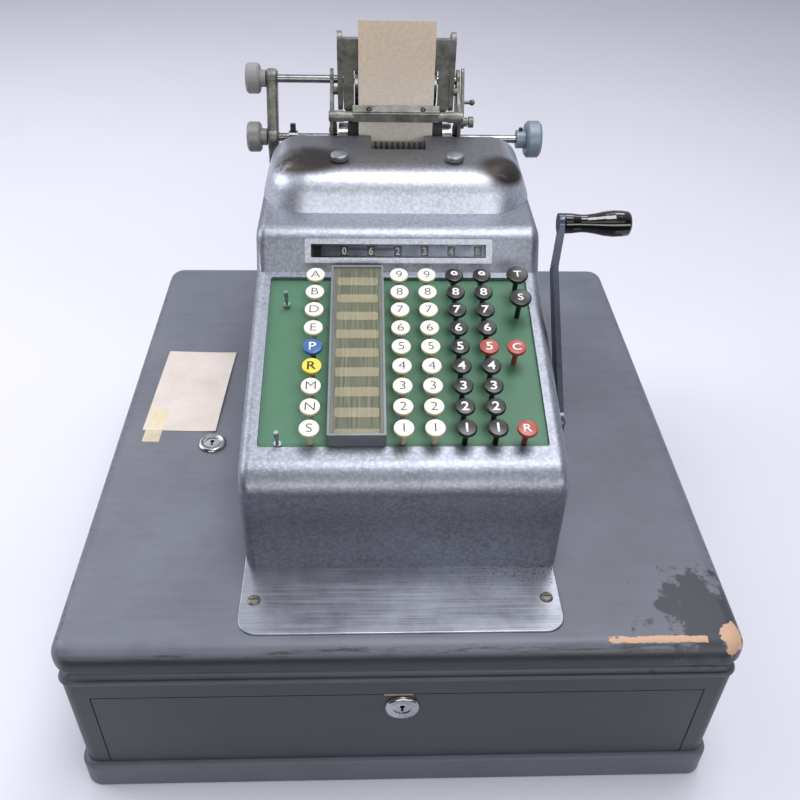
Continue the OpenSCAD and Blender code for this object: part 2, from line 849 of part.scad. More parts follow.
// Edge of the top cover: a leaning side that rolls over into the flat top; o moves it inwards and down
module cover_edge(o) {
    cz = cover_h - cover_top_r;
    cx = cover_plan_r - cz * tan(cover_lean) - cover_top_r / cos(cover_lean);
    r = cover_top_r - o;
    polygon([[0, -o], [cover_plan_r - o / cos(cover_lean) + o * tan(cover_lean), -o],
        [cx + r * cos(cover_lean), cz + r * sin(cover_lean)], [cx, cz + r], [0, cz + r]]);
    intersection() {
        translate([cx, cz]) circle(r, $fn = 72);
        square([cover_plan_r, cz + r]);
    }
}

// Solid form of the top cover, cut square at the back; o moves it inwards
module cover_form(o) {
    w = mach_w - 2 * cover_side;
    d = cover_y1 - cover_y0 + 2 * cover_plan_r;
    translate([0, cover_y0 + d / 2, shelf_z]) difference() {
        union() {
            sweep_frame(w, d, cover_plan_r) cover_edge(o);
            translate([cover_plan_r - w / 2, cover_plan_r - d / 2, -o])
                cube([w - 2 * cover_plan_r, d - 2 * cover_plan_r, cover_h]);
        }
        translate([-w, cover_y1 - o - cover_y0 - d / 2, -cover_h]) cube([2 * w, d, 3 * cover_h]);
    }
}

// Pressed cover over the printing works, notched at the back for the type and the paper
module top_cover() {
    color("silver") at_machine() difference() {
        union() {
            difference() {
                cover_form(0);
                cover_form(cover_t);
            }
            for (x = [-1, 1]) translate([x * thumb_x, thumb_y, shelf_z]) cylinder(r = thumb_boss_r, h = cover_h - 1);
        }
        translate([notch_x0, notch_y, shelf_z - 1]) cube([notch_x1 - notch_x0, mach_d, cover_h + 2]);
        for (x = [-1, 1]) translate([x * thumb_x, thumb_y, shelf_z - 1])
            cylinder(r = thumb_shank_r + run_gap, h = cover_h + 2);
    }
}

// Thumb screw with a domed head, grooved round its edge
module thumb_screw(side) {
    color("silver") at_machine() translate([side * thumb_x, thumb_y, shelf_z + cover_h]) {
        difference() {
            rotate_extrude() polygon(concat([[0, body_gap], [thumb_r - 1, body_gap], [thumb_r, 1], [thumb_r, 3.4]],
                arc([thumb_r - 1.6, 3.4], 1.6, 0, 75, 4), [[0, thumb_head_h]]));
            for (i = [0:thumb_grooves - 1]) rotate([0, 0, i * 360 / thumb_grooves]) translate([thumb_r + 0.25, 0, 0.9])
                cylinder(r = 0.6, h = 2.2, $fn = 8);
        }
        translate([0, 0, -thumb_shank_len]) cylinder(r = thumb_shank_r, h = thumb_shank_len + 1);
    }
}

module thumb_screw_left() {
    thumb_screw(-1);
}

module thumb_screw_right() {
    thumb_screw(1);
}

// Nine type bars in the notch, joined by a rod inside the housing
module type_bars() {
    color("#222222") at_machine() {
        for (i = [0:type_bars_n - 1]) translate([type_x(i) - type_t / 2, type_y, type_low]) {
            cube([type_t, type_d, type_top - type_low - 3]);
            translate([0, 2, 0]) cube([type_t, type_d - 2, type_top - type_low]);
        }
        rod_x([type_x(0) - type_pitch, type_y + type_d / 2, type_low + 8], 2, type_pitch * (type_bars_n + 1));
    }
}

// Side plate of the carriage in the y-z plane
module carriage_side() {
    polygon([[frame_y0, shelf_z], [frame_y1, shelf_z], [frame_y1, side_waist_z], [roll_y + side_rim, roll_z],
        [roll_y, roll_z + side_rim], side_brow, [frame_y0, side_brow[1] - 4]]);
    translate([roll_y, roll_z]) circle(side_rim);
}

// Carriage frame: two side plates with turned-out feet, two tie rods and the stud of the release lever
module carriage_frame() {
    foot = 9;
    color("dimgray") at_machine() difference() {
        union() {
            for (m = [0, 1]) mirror([m, 0, 0]) {
                translate([frame_x, 0, 0]) along_x() linear_extrude(frame_t) carriage_side();
                translate([frame_x, frame_y0, shelf_z]) cube([foot, frame_y1 - frame_y0, foot_t]);
            }
            rod_x([-frame_x - 1, frame_y0 + 1, shelf_z + 3.5], small_pin_r, 2 * frame_x + 2);
            rod_x([-frame_x - 1, frame_y1 - 3, shelf_z + 4], small_pin_r, 2 * frame_x + 2);
            rod_x([frame_x, lever_pivot[0], lever_pivot[1]], small_pin_r, frame_t + stud_len);
            rod_x([frame_x + frame_t + stud_len - stud_head_t, lever_pivot[0], lever_pivot[1]], stud_head_r, stud_head_t);
            rod_x([frame_x + frame_t + lever_t + 2 * body_gap, lever_pivot[0], lever_pivot[1]], 3.4, 2.4);
        }
        rod_x([-mach_w, platen_y, platen_z], shaft_r + run_gap, 2 * mach_w);
        rod_x([-mach_w, roll_y, roll_z], shaft_r + run_gap, 2 * mach_w);
        rod_x([-mach_w, bail_pivot[0], bail_pivot[1]], small_pin_r + run_gap, 2 * mach_w);
    }
}

// Paper table with two legs, and the cheeks of the roll's cradle
module roll_cradle() {
    y = [cradle_y + cheek_r, cradle_back - cheek_r];
    z = [cradle_z0 + cheek_r, cradle_z1 - cheek_r];
    stay = [platen_y + 5, cradle_z0 + 12];
    color("dimgray") at_machine() difference() {
        union() {
            for (m = [0, 1]) mirror([m, 0, 0]) {
                translate([cradle_x - cradle_t, 0, 0]) along_x() linear_extrude(cradle_t)
                    rounded([[y[0], z[0]], [y[1], z[0]], [y[1], z[1] - cheek_drop], [y[0], z[1]]], cheek_r);
                translate([leg_x, cradle_y + table_t, 0]) rotate([90, 0, 0]) linear_extrude(table_t) {
                    translate([leg_w / 2, cradle_z0 + leg_w / 2]) circle(leg_w / 2);
                    translate([0, cradle_z0 + leg_w / 2]) square([leg_w, neck_z - cradle_z0]);
                }
                rod_x([cradle_x - 1, stay[0], stay[1]], stay_r, frame_x - cradle_x + 1);
            }
            translate([-cradle_x + 1, cradle_y, neck_z]) cube([2 * cradle_x - 2, table_t, cradle_z1 - neck_z - 4]);
            translate([-cradle_x + 1, cradle_y + 1, cradle_z1 - 10]) cube([2 * cradle_x - 2, 5, 6]);
        }
        rod_x([-cradle_x - 1, roll_y, roll_z], shaft_r + run_gap, 2 * cradle_x + 2);
    }
}

// Roll of paper tape on its spindle
module paper_roll() {
    color("wheat") at_machine() difference() {
        rod_x([-paper_w / 2, roll_y, roll_z], roll_r, paper_w);
        rod_x([-paper_w, roll_y, roll_z], core_r, 2 * paper_w);
    }
}

// Spindle of the roll with its core, a flange on each side of the paper, and its knob
module roll_spindle() {
    color("gray") at_machine() {
        rod_x([knob_x - knob_t + 1, roll_y, roll_z], shaft_r, frame_x + frame_t - knob_x + knob_t - 1);
        rod_x([-paper_w / 2 - 2, roll_y, roll_z], core_r, paper_w + 4);
        for (m = [0, 1]) mirror([m, 0, 0]) rod_x([paper_w / 2 + body_gap, roll_y, roll_z], flange_r, flange_t);
        side_knob([roll_y, roll_z]);
    }
}

// Barrel knob with a hub, at the left end of a shaft
module side_knob(at) {
    hub = -knob_x + arm_x - body_gap;
    translate([knob_x - knob_t, at[0], at[1]]) rotate([0, 90, 0]) {
        rotate_extrude() polygon([[0, 0], [knob_r - 1.6, 0], [knob_r, 1.6], [knob_r, knob_t - 1.6],
            [knob_r - 1.6, knob_t], [0, knob_t]]);
        cylinder(r = 6.5, h = knob_t + hub);
    }
}

// Paper path: off the roll, under the platen and up behind the bar
function paper_path(o) =
    let (r = platen_r + paper_gap + o, rr = roll_r + paper_gap + o, dy = roll_y - platen_y, dz = roll_z - platen_z,
        a = atan2(dz, dy) - acos((r - rr) / norm([dy, dz])))
    concat([[roll_y + rr * cos(a), roll_z + rr * sin(a)]], arc([platen_y, platen_z], r, a, -180, 16),
        [[platen_y - r, bar_z + 9], [platen_y - r + paper_lean, paper_top]]);

module paper_sheet() {
    inner = paper_path(0);
    outer = paper_path(paper_t);
    n = len(outer);
    color("wheat") at_machine() translate([-paper_w / 2, 0, 0]) along_x() linear_extrude(paper_w)
        polygon(concat(inner, [for (i = [n - 1:-1:0]) outer[i]]));
}

// Curved tin under the platen that the paper runs in, held between the side plates
module paper_guide() {
    inner = paper_path(paper_t);
    outer = paper_path(paper_t + guide_t);
    first = 2;
    last = 9;
    color("dimgray") at_machine() translate([-frame_x, 0, 0]) along_x() linear_extrude(2 * frame_x)
        polygon(concat([for (i = [first:last]) inner[i]], [for (i = [last:-1:first]) outer[i]]));
}

// Rubber roller
module platen() {
    color("#303030") at_machine() difference() {
        rod_x([-platen_half, platen_y, platen_z], platen_r, 2 * platen_half);
        rod_x([-platen_half - 1, platen_y, platen_z], platen_core_r, 2 * platen_half + 2);
    }
}

// Platen's shaft with its core, the feed wheel at each end of the platen and the collar beside the arm
module platen_shaft() {
    color("gray") at_machine() {
        rod_x([knob_x - knob_t + 2, platen_y, platen_z], shaft_r, disc_x + disc_t - knob_x + knob_t - 4);
        rod_x([-platen_half - 1, platen_y, platen_z], platen_core_r, 2 * platen_half + 2);
        for (m = [0, 1]) mirror([m, 0, 0])
            rod_x([platen_half + body_gap, platen_y, platen_z], feed_wheel_r, feed_wheel_t);
        rod_x([collar_x, platen_y, platen_z], 5, collar_len);
    }
}

// Left knob of the platen and the larger disc knob on its right
module platen_knobs() {
    color("slategray") at_machine() difference() {
        union() {
            side_knob([platen_y, platen_z]);
            translate([disc_x - disc_hub, platen_y, platen_z]) rotate([0, 90, 0]) {
                cylinder(r = disc_r / 2, h = disc_hub + 1);
                translate([0, 0, disc_hub]) rotate_extrude() polygon([[0, 0], [disc_r - 2, 0], [disc_r, 2],
                    [disc_r, disc_t - 2], [disc_r - 2, disc_t], [0, disc_t]]);
            }
        }
        rod_x([knob_x - knob_t + 2, platen_y, platen_z], shaft_r, disc_x + disc_t - knob_x + knob_t - 4);
    }
}

// Arm on the left that carries the outer ends of both shafts, standing on the housing's shelf
module side_arm() {
    half = arm_web / 2;
    color("dimgray") at_machine() difference() {
        union() {
            translate([arm_x, 0, 0]) along_x() linear_extrude(arm_t) {
                translate([platen_y, platen_z]) circle(arm_boss_r);
                translate([roll_y, roll_z]) circle(arm_boss_r);
                polygon([[platen_y - half, platen_z + 2], [platen_y + half, platen_z - 3],
                    [roll_y + half, roll_z - 3], [roll_y - half, roll_z + 3]]);
                translate([platen_y - half, shelf_z]) square([arm_web, platen_z - shelf_z]);
            }
            translate([arm_x + 1, platen_y - arm_foot[1] / 2, shelf_z]) cube(arm_foot);
        }
        rod_x([-mach_w, platen_y, platen_z], shaft_r + run_gap, mach_w);
        rod_x([-mach_w, roll_y, roll_z], shaft_r + run_gap, mach_w);
    }
}

// Bar that holds the paper: its sloping top carries the tear plate, and its round ends sit on two pivoted arms
module paper_bar() {
    arm = 2.4;
    h = bar_half;
    lip = 0.8;
    lip_z = h + lip * tear_rise / (2 * h);
    link = [bail_pivot[0] - bar_y, bail_pivot[1] - bar_z];
    color("darkgray") at_machine() {
        translate([-tear_x, bar_y, bar_z]) along_x() linear_extrude(2 * tear_x)
            polygon([[-h, -h], [h, -h], [h, h + tear_rise + tear_t], [lip - h, lip_z + tear_t], [lip - h, lip_z], [-h, h]]);
        for (m = [0, 1]) mirror([m, 0, 0]) rod_x([tear_x - 1, bar_y, bar_z], bar_end_r, bar_x - tear_x + 1);
        for (m = [0, 1]) mirror([m, 0, 0]) translate([frame_x - body_gap - arm, 0, 0]) {
            translate([0, bar_y, bar_z]) rotate([atan2(link[1], link[0]), 0, 0])
                translate([0, 0, -3]) cube([arm, norm(link), 6]);
            rod_x([0, bail_pivot[0], bail_pivot[1]], 4.4, arm);
            rod_x([0, bail_pivot[0], bail_pivot[1]], small_pin_r, arm + body_gap + frame_t + 1);
            rod_x([-6, bar_y, bar_z], collar_r, arm + 6);
        }
    }
}

// Release lever on the right, with a finger pin
module release_lever() {
    x0 = frame_x + frame_t + body_gap;
    run = lever_tip - lever_pivot;
    pin = lever_pivot + run * 0.4;
    color("dimgray") at_machine() difference() {
        union() {
            rod_x([x0, lever_pivot[0], lever_pivot[1]], 5, lever_t);
            rod_x([x0, lever_tip[0], lever_tip[1]], 3.2, lever_t);
            translate([x0, lever_pivot[0], lever_pivot[1]]) rotate([atan2(run[1], run[0]), 0, 0])
                translate([0, 0, -2.8]) cube([lever_t, norm(run), 5.6]);
            rod_x([x0, pin[0], pin[1]], 1.3, 8);
            translate([x0 + 8.6, pin[0], pin[1]]) sphere(2.3);
        }
        rod_x([0, lever_pivot[0], lever_pivot[1]], small_pin_r + run_gap, mach_w);
    }
}

// Crank: a flat bar bent outwards near its end, with its hub, its shaft and the grip's pin
module crank_arm() {
    x0 = crank_x;
    x1 = crank_x + crank_flare;
    t = crank_bar_t;
    color("silver") at_machine() translate([0, crank_y, crank_z]) rotate([crank_deg, 0, 0]) {
        intersection() {
            linear_extrude(40, center = true) polygon([[x0, -20], [x0 + t, -20], [x0 + t, crank_len * 0.76],
                [x1 + t, crank_len * 0.95], [x1 + t, crank_len + 20], [x1, crank_len + 20], [x1, crank_len * 0.96],
                [x0, crank_len * 0.77]]);
            along_x() linear_extrude(mach_w) {
                circle(9);
                translate([crank_len, 0]) circle(7);
                polygon([[0, -8], [crank_len, -5.5], [crank_len, 5.5], [0, 8]]);
            }
        }
        rod_x([mach_w / 2 + boss_out + body_gap, 0, 0], 9, x0 + t - mach_w / 2 - boss_out - body_gap);
        rod_x([mach_w / 2 - wall_t - boss_in - 3, 0, 0], crank_shaft_r, wall_t + boss_in + boss_out + 6);
        rod_x([x0 + t - 1, 0, 0], crank_end_r, crank_end + 1);
        rod_x([x1 + 1, crank_len, 0], grip_pin_r, grip_x - x1 - 1 + grip_len - grip_end - body_gap);
    }
}

// Turned grip that spins on the crank's pin, closed at its outer end
module crank_handle() {
    l = grip_len;
    color("#1a1a1a") at_machine() translate([0, crank_y, crank_z]) rotate([crank_deg, 0, 0])
        translate([grip_x, crank_len, 0]) rotate([0, 90, 0]) rotate_extrude() {
            b = grip_pin_r + run_gap;
            polygon(concat([[b, 0], [6.6, 0], [7.1, 0.8], [6.9, l * 0.12], [6.2, l * 0.24], [6.2, l * 0.34],
                [7, l * 0.46], [8.4, l * 0.6], [9.2, l * 0.74], [9, l * 0.87]], arc([5, l - 4], 4, 30, 90, 4),
                [[0, l], [0, l - grip_end], [b, l - grip_end]]));
        }
}

cabinet_carcass();
face_frame();
bottom_board();
plinth();
cove_moulding();
cabinet_lid();
drawer_runners();
wear_plate();
wear_plate_screws();
lid_lock_case();
lid_lock_plug();
drawer_front();
drawer_box();
till_tray();
drawer_lock_case();
drawer_lock_plug();
housing();
base_plate();
keyboard_plate();
window_bezel();
window_glass();
window_mask();
wheel_shaft();
number_wheel_1();
number_wheel_2();
number_wheel_3();
number_wheel_4();
number_wheel_5();
number_wheel_6();
label_holder();
label_window();
label_strips();
plate_posts();
top_cover();
thumb_screw_left();
thumb_screw_right();
type_bars();
letter_keys();
number_keys_1();
number_keys_2();
number_keys_3();
number_keys_4();
total_key();
subtotal_key();
correction_key();
repeat_key();
carriage_frame();
roll_cradle();
paper_roll();
roll_spindle();
paper_sheet();
paper_guide();
platen();
platen_shaft();
platen_knobs();
side_arm();
paper_bar();
release_lever();
crank_arm();
crank_handle();
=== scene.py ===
"""A full-keyboard adding machine on its wooden cash-drawer cabinet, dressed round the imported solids.

Metres, +Z up, front towards -Y. The machine stands on the cabinet's lid, with its crank on the right.
"""
import math

import bmesh
import bpy
from mathutils import Matrix, Vector


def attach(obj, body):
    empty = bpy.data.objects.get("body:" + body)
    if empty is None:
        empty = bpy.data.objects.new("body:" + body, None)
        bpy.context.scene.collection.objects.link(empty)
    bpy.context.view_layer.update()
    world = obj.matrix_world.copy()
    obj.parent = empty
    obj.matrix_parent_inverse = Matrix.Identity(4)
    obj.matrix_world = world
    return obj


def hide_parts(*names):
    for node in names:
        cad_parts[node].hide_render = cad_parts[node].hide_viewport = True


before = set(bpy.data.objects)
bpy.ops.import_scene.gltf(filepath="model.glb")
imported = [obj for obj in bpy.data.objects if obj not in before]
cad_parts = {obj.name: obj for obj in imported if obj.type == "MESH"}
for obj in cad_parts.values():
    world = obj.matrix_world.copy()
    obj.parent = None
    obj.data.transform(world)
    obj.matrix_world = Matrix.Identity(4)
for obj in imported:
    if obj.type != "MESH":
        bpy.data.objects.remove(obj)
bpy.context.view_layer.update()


# Camera. It stands in front of the cabinet, a little to the left, and looks down on the keys.
# The view is square, with a normal lens.
mm = 0.001
turn, down, roll = (math.radians(a) for a in (-2.846, 38.778, 1.666))
ahead = Vector((-math.sin(turn) * math.cos(down), math.cos(turn) * math.cos(down), -math.sin(down)))
level = Vector((math.cos(turn), math.sin(turn), 0))
upward = level.cross(ahead)
axes = (math.cos(roll) * level + math.sin(roll) * upward, math.cos(roll) * upward - math.sin(roll) * level,
        -ahead)
lens = bpy.data.cameras.new("camera")
lens.lens, lens.sensor_width, lens.clip_start = 39.85, 36.0, 0.01
camera = bpy.data.objects.new("camera", lens)
camera.matrix_world = Matrix.Translation((-0.02187, -0.5400, 0.5889)) @ Matrix(axes).transposed().to_4x4()
bpy.context.scene.collection.objects.link(camera)
bpy.context.scene.camera = camera
bpy.context.scene.view_settings.view_transform = "Standard"


# Floor. Matt white paper laid flat, wide enough to fill the picture; it keeps the object's shadow.
# In front of the cabinet, where the dark side of the room begins, it throws no light back, so that
# the upright fronts stay dark. Colours are sRGB hex values turned to linear ones.
half_floor, dark_side_y = 6.0, -0.4


def linear(colour):
    """A hex colour as linear red, green, blue and alpha."""
    parts = [int(colour[i:i + 2], 16) / 255 for i in (1, 3, 5)]
    return (*[c / 12.92 if c <= 0.04045 else ((c + 0.055) / 1.055) ** 2.4 for c in parts], 1)


def add(tree, kind, inputs=None, out=0, **settings):
    """Adds a node of a kind, such as "Mix", with its settings and inputs, and gives back one output.

    An input is a value, a hex colour or another node's socket. With out=None all outputs come back.
    """
    node = tree.nodes.new(tree.bl_idname.removesuffix("Tree") + kind)
    for name, value in settings.items():
        setattr(node, name, value)
    for name, value in (inputs or {}).items():
        if isinstance(value, bpy.types.NodeSocket):
            tree.links.new(value, node.inputs[name])
        else:
            node.inputs[name].default_value = linear(value) if isinstance(value, str) else value
    return node.outputs if out is None else node.outputs[out]


def feed(shader, socket, source):
    """Links a node's output to a socket of the surface shader."""
    shader.id_data.links.new(source, shader.inputs[socket])


def finish(name, **surface):
    """A material with its surface shader; surface holds plain values of the shader's sockets."""
    material = bpy.data.materials.new(name)
    material.use_nodes = True
    tree = material.node_tree
    shader = tree.nodes["Principled BSDF"]
    for socket, value in surface.items():
        shader.inputs[socket.replace("_", " ")].default_value = value
    place = add(tree, "TexCoord", out="Object")
    return material, tree, shader, place


def mottled(name, low, high, size, detail, ragged=0.5, **surface):
    """A material whose colour drifts between two, in clouds of a size in millimetres."""
    material, tree, shader, place = finish(name, **surface)
    cloud = add(tree, "TexNoise", {"Vector": place, "Scale": 1 / (size * mm), "Detail": detail,
                                   "Roughness": ragged})
    feed(shader, "Base Color", add(tree, "Mix", {0: cloud, 6: low, 7: high}, data_type="RGBA", out=2))
    return material


def piece(name, mesh, body, *materials, replaces=(), slot=None):
    """Puts a finished mesh in the scene, rides it on its body, and hides the imported parts it replaces."""
    made = bpy.data.objects.new(name, mesh)
    bpy.context.scene.collection.objects.link(made)
    for material in materials:
        if material.name not in mesh.materials:
            mesh.materials.append(material)
    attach(made, body)
    if replaces:
        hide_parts(*replaces)
    return made


paper_floor, tree, shader, place = finish("matt_white_paper", Roughness=0.9)
fibres = add(tree, "TexNoise", {"Vector": place, "Scale": 1 / (333.3 * mm), "Detail": 3.0})
in_front = add(tree, "Math", {0: add(tree, "SeparateXYZ", {0: place}, out="Y"), 1: dark_side_y},
               operation="LESS_THAN")
unseen = add(tree, "Math", {0: 1.0, 1: add(tree, "LightPath", out="Is Camera Ray")}, operation="SUBTRACT")
dark_side = add(tree, "Math", {0: in_front, 1: unseen}, operation="MULTIPLY")
pale = add(tree, "Mix", {0: fibres, 6: "#dcdce8", 7: "#e4e4ef"}, data_type="RGBA", out=2)
feed(shader, "Base Color", add(tree, "Mix", {0: dark_side, 6: pale, 7: "#08080a"}, data_type="RGBA", out=2))
sheet = bpy.data.meshes.new("floor")
corners = [(x * half_floor, y * half_floor, 0) for x, y in ((-1, -1), (1, -1), (1, 1), (-1, 1))]
sheet.from_pydata(corners, [], [(0, 1, 2, 3)])
sheet.materials.append(paper_floor)
floor = bpy.data.objects.new("floor", sheet)
floor.location.z = -0.2 * mm
bpy.context.scene.collection.objects.link(floor)


# Light. A wide soft lamp overhead, a long low one in front that the cover's brow mirrors, weaker ones on
# the left and behind, and a pale room all round that is darker towards the front, behind the camera.
def lamp(name, place, target, width, height, power):
    """An oblong area lamp at a place, turned to its target."""
    data = bpy.data.lights.new(name, "AREA")
    data.shape, data.size, data.size_y, data.energy = "RECTANGLE", width, height, power
    made = bpy.data.objects.new(name, data)
    made.location = place
    made.rotation_euler = (Vector(target) - Vector(place)).to_track_quat("-Z", "Y").to_euler()
    bpy.context.scene.collection.objects.link(made)


lamp("soft_overhead", (0.18, -0.08, 1.75), (0.0, 0.0, 0.15), 0.8, 0.6, 15)
lamp("soft_front", (0.5, -2.2, 0.85), (0.0, 0.0, 0.3), 3.4, 0.5, 26)
lamp("soft_fill", (0.3, -1.5, 1.75), (0.0, 0.0, 0.3), 1.2, 0.7, 3)
lamp("soft_left", (-1.5, 0.3, 1.1), (0.0, 0.0, 0.1), 1.0, 1.0, 11)
lamp("soft_back_left", (-0.8, 1.1, 1.5), (-0.1, 0.0, 0.15), 0.7, 0.7, 5)
lamp("soft_back_right", (0.52, 0.85, 1.5), (0.1, -0.2, 0.15), 0.4, 0.4, 3)
room = bpy.data.worlds.new("room")
bpy.context.scene.world = room
room.use_nodes = True
tree = room.node_tree
toward = add(tree, "SeparateXYZ", {0: add(tree, "TexCoord", out="Generated")}, out="Y")
depth = add(tree, "MapRange", {"Value": toward, "From Min": -0.7, "From Max": 0.3, "To Min": 0.04,
                               "To Max": 0.56}, interpolation_type="SMOOTHSTEP")
rays = add(tree, "LightPath", out=None)
seen = add(tree, "Mix", {0: rays["Is Camera Ray"], 2: depth, 3: 0.85})
tree.links.new(seen, tree.nodes["Background"].inputs["Strength"])
tree.nodes["Background"].inputs["Color"].default_value = linear("#f2f3ff")


# Cabinet boards. Solid wood under grey satin enamel laid on by brush, rubbed dark along the edges and worn
# to the bare wood at the lid's front right corner; the paint shows the brush strokes as faint ridges. The
# fronts and sides are darker copies of the lid's enamel, and the lid's front nose is near black: painted
# shade.
lid_low, lid_high, lid_front = 126 * mm, 140 * mm, -224.3 * mm
lid_flat = (197.5 * mm, 211 * mm, 9.0)        # half the lid inside its rounded rim, with no limit upwards
worn_corner, bare_corner = (188 * mm, -198 * mm, 143 * mm), (202 * mm, -215 * mm, 137 * mm)
streak_y, streak_wide = -217.2 * mm, 2 * mm
lock_chip, chip_half = (-1.7 * mm, -223 * mm, 96.4 * mm), (9.1 * mm, 4 * mm, 0.7 * mm)


def painted_boards(name, light, dark, along):
    """Brushed enamel, whose strokes, nicks and clouds are drawn as coarse as they need to show.

    A noise's scale is one over the width of its clouds, and along stretches the strokes down the board.
    """
    material, tree, shader, place = finish(name, Roughness=0.42, IOR=1.5)
    strokes = add(tree, "Mapping", {"Vector": place, "Scale": along})
    brush = add(tree, "TexNoise", {"Vector": strokes, "Scale": 1 / (4.545 * mm), "Detail": 4.0,
                                   "Roughness": 0.6})
    cloud = add(tree, "TexNoise", {"Vector": place, "Scale": 1 / (71.43 * mm), "Detail": 6.0,
                                   "Roughness": 0.65})
    mottle = add(tree, "MapRange", {"Value": cloud, "From Min": 0.3, "From Max": 0.7})
    paint = add(tree, "Mix", {0: mottle, 6: dark, 7: light}, data_type="RGBA", out=2)
    fine = add(tree, "MapRange", {"Value": brush, "From Min": 0.35, "From Max": 0.65, "To Max": 0.35})
    paint = add(tree, "Mix", {0: fine, 6: paint, 7: light}, data_type="RGBA", out=2)
    # Rubbed edge: how far a point lies out past the flat part of the lid
    size = add(tree, "VectorMath", {0: place}, operation="ABSOLUTE")
    past = add(tree, "VectorMath", {0: size, 1: lid_flat}, operation="SUBTRACT")
    past = add(tree, "VectorMath", {0: past, 1: (0, 0, 0)}, operation="MAXIMUM")
    reach = add(tree, "VectorMath", {0: past}, operation="LENGTH", out="Value")
    edge = add(tree, "MapRange", {"Value": reach, "From Min": 1 * mm, "From Max": 10 * mm},
               interpolation_type="SMOOTHSTEP")
    spots = add(tree, "TexNoise", {"Vector": place, "Scale": 1 / (18.18 * mm), "Detail": 8.0,
                                   "Roughness": 0.7})
    axis = add(tree, "SeparateXYZ", {0: place}, out=None)
    rim = add(tree, "MapRange", {"Value": axis["Z"], "From Min": lid_low, "From Max": lid_high},
              interpolation_type="SMOOTHSTEP")
    rubbed = add(tree, "Math", {0: edge, 1: rim}, operation="MULTIPLY")
    nicks = add(tree, "Mapping", {"Vector": place, "Scale": along})
    nicks = add(tree, "TexNoise", {"Vector": nicks, "Scale": 1 / (3.846 * mm), "Detail": 6.0,
                                   "Roughness": 0.75})
    rubbed = add(tree, "Math", {0: rubbed, 1: nicks}, operation="MULTIPLY")
    rubbed = add(tree, "MapRange", {"Value": rubbed, "From Min": 0.50, "From Max": 0.62})
    paint = add(tree, "Mix", {0: rubbed, 6: paint, 7: "#3d3e40"}, data_type="RGBA", out=2)
    # The lid's front nose, darkened to near black: painted shade
    shaded_nose = add(tree, "MapRange", {"Value": axis["Y"], "From Min": lid_front + 2.8 * mm, "From Max": lid_front,
                                  "To Max": 0.9})
    over = add(tree, "Math", {0: axis["Z"], 1: lid_low}, operation="GREATER_THAN")
    shaded_nose = add(tree, "Math", {0: shaded_nose, 1: over}, operation="MULTIPLY")
    paint = add(tree, "Mix", {0: shaded_nose, 6: paint, 7: "#24262a"}, data_type="RGBA", out=2)
    # Old dark coat, bared in patches near the front right corner
    near = add(tree, "VectorMath", {0: place, 1: worn_corner}, operation="DISTANCE", out="Value")
    near = add(tree, "MapRange", {"Value": near, "From Min": 8 * mm, "From Max": 60 * mm, "To Min": 0.22,
                                  "To Max": -0.12})
    old_coat = add(tree, "Math", {0: near, 1: spots}, operation="ADD")
    old_coat = add(tree, "MapRange", {"Value": old_coat, "From Min": 0.56, "From Max": 0.62})
    paint = add(tree, "Mix", {0: old_coat, 6: paint, 7: "#3c3e47"}, data_type="RGBA", out=2)
    # Bare wood: a thin streak along the front edge, and a blot on the corner
    drift = add(tree, "Math", {0: spots, 1: 6 * mm, 2: -3 * mm}, operation="MULTIPLY_ADD")
    line = add(tree, "Math", {0: axis["Y"], 1: drift}, operation="ADD")
    line = add(tree, "Math", {0: line, 1: streak_y, 2: streak_wide}, operation="COMPARE")
    start = add(tree, "MapRange", {"Value": axis["X"], "From Min": 100 * mm, "From Max": 150 * mm})
    stop = add(tree, "Math", {0: axis["X"], 1: 186 * mm}, operation="LESS_THAN")
    blot = add(tree, "VectorMath", {0: place, 1: bare_corner}, operation="DISTANCE", out="Value")
    blot = add(tree, "MapRange", {"Value": blot, "From Min": 4 * mm, "From Max": 16 * mm, "To Min": 0.22,
                                  "To Max": -0.30})
    blot = add(tree, "Math", {0: blot, 1: spots}, operation="ADD")
    blot = add(tree, "Math", {0: blot, 1: 0.5}, operation="GREATER_THAN")
    bare = add(tree, "Math", {0: start, 1: stop}, operation="MULTIPLY")
    bare = add(tree, "Math", {0: bare, 1: spots}, operation="MULTIPLY")
    bare = add(tree, "Math", {0: bare, 1: 0.26}, operation="GREATER_THAN")
    bare = add(tree, "Math", {0: bare, 1: line}, operation="MULTIPLY")
    bare = add(tree, "Math", {0: bare, 1: over}, operation="MULTIPLY")
    bare = add(tree, "Math", {0: bare, 1: blot}, operation="MAXIMUM")
    # A sliver of bare wood at the drawer's top edge, over its lock
    off = add(tree, "VectorMath", {0: place, 1: lock_chip}, operation="SUBTRACT")
    off = add(tree, "VectorMath", {0: off}, operation="ABSOLUTE")
    off = add(tree, "VectorMath", {0: off, 1: [1 / half for half in chip_half]}, operation="MULTIPLY")
    off = add(tree, "SeparateXYZ", {0: off}, out=None)
    chip = add(tree, "Math", {0: off["X"], 1: off["Y"]}, operation="MAXIMUM")
    chip = add(tree, "Math", {0: chip, 1: off["Z"]}, operation="MAXIMUM")
    chip = add(tree, "Math", {0: chip, 1: 1.0}, operation="LESS_THAN")
    bare = add(tree, "Math", {0: bare, 1: chip}, operation="MAXIMUM")
    feed(shader, "Base Color", add(tree, "Mix", {0: bare, 6: paint, 7: "#c7a286"}, data_type="RGBA", out=2))
    height = add(tree, "Math", {0: brush, 1: bare}, operation="SUBTRACT")
    bump = add(tree, "Bump", {"Height": height, "Strength": 0.35, "Distance": 0.25 * mm})
    feed(shader, "Normal", bump)
    rough = add(tree, "MapRange", {"Value": cloud, "To Min": 0.34, "To Max": 0.55})
    feed(shader, "Roughness", rough)
    return material


def dress(material, *nodes):
    """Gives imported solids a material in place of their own."""
    for node in nodes:
        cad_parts[node].data.materials.clear()
        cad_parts[node].data.materials.append(material)


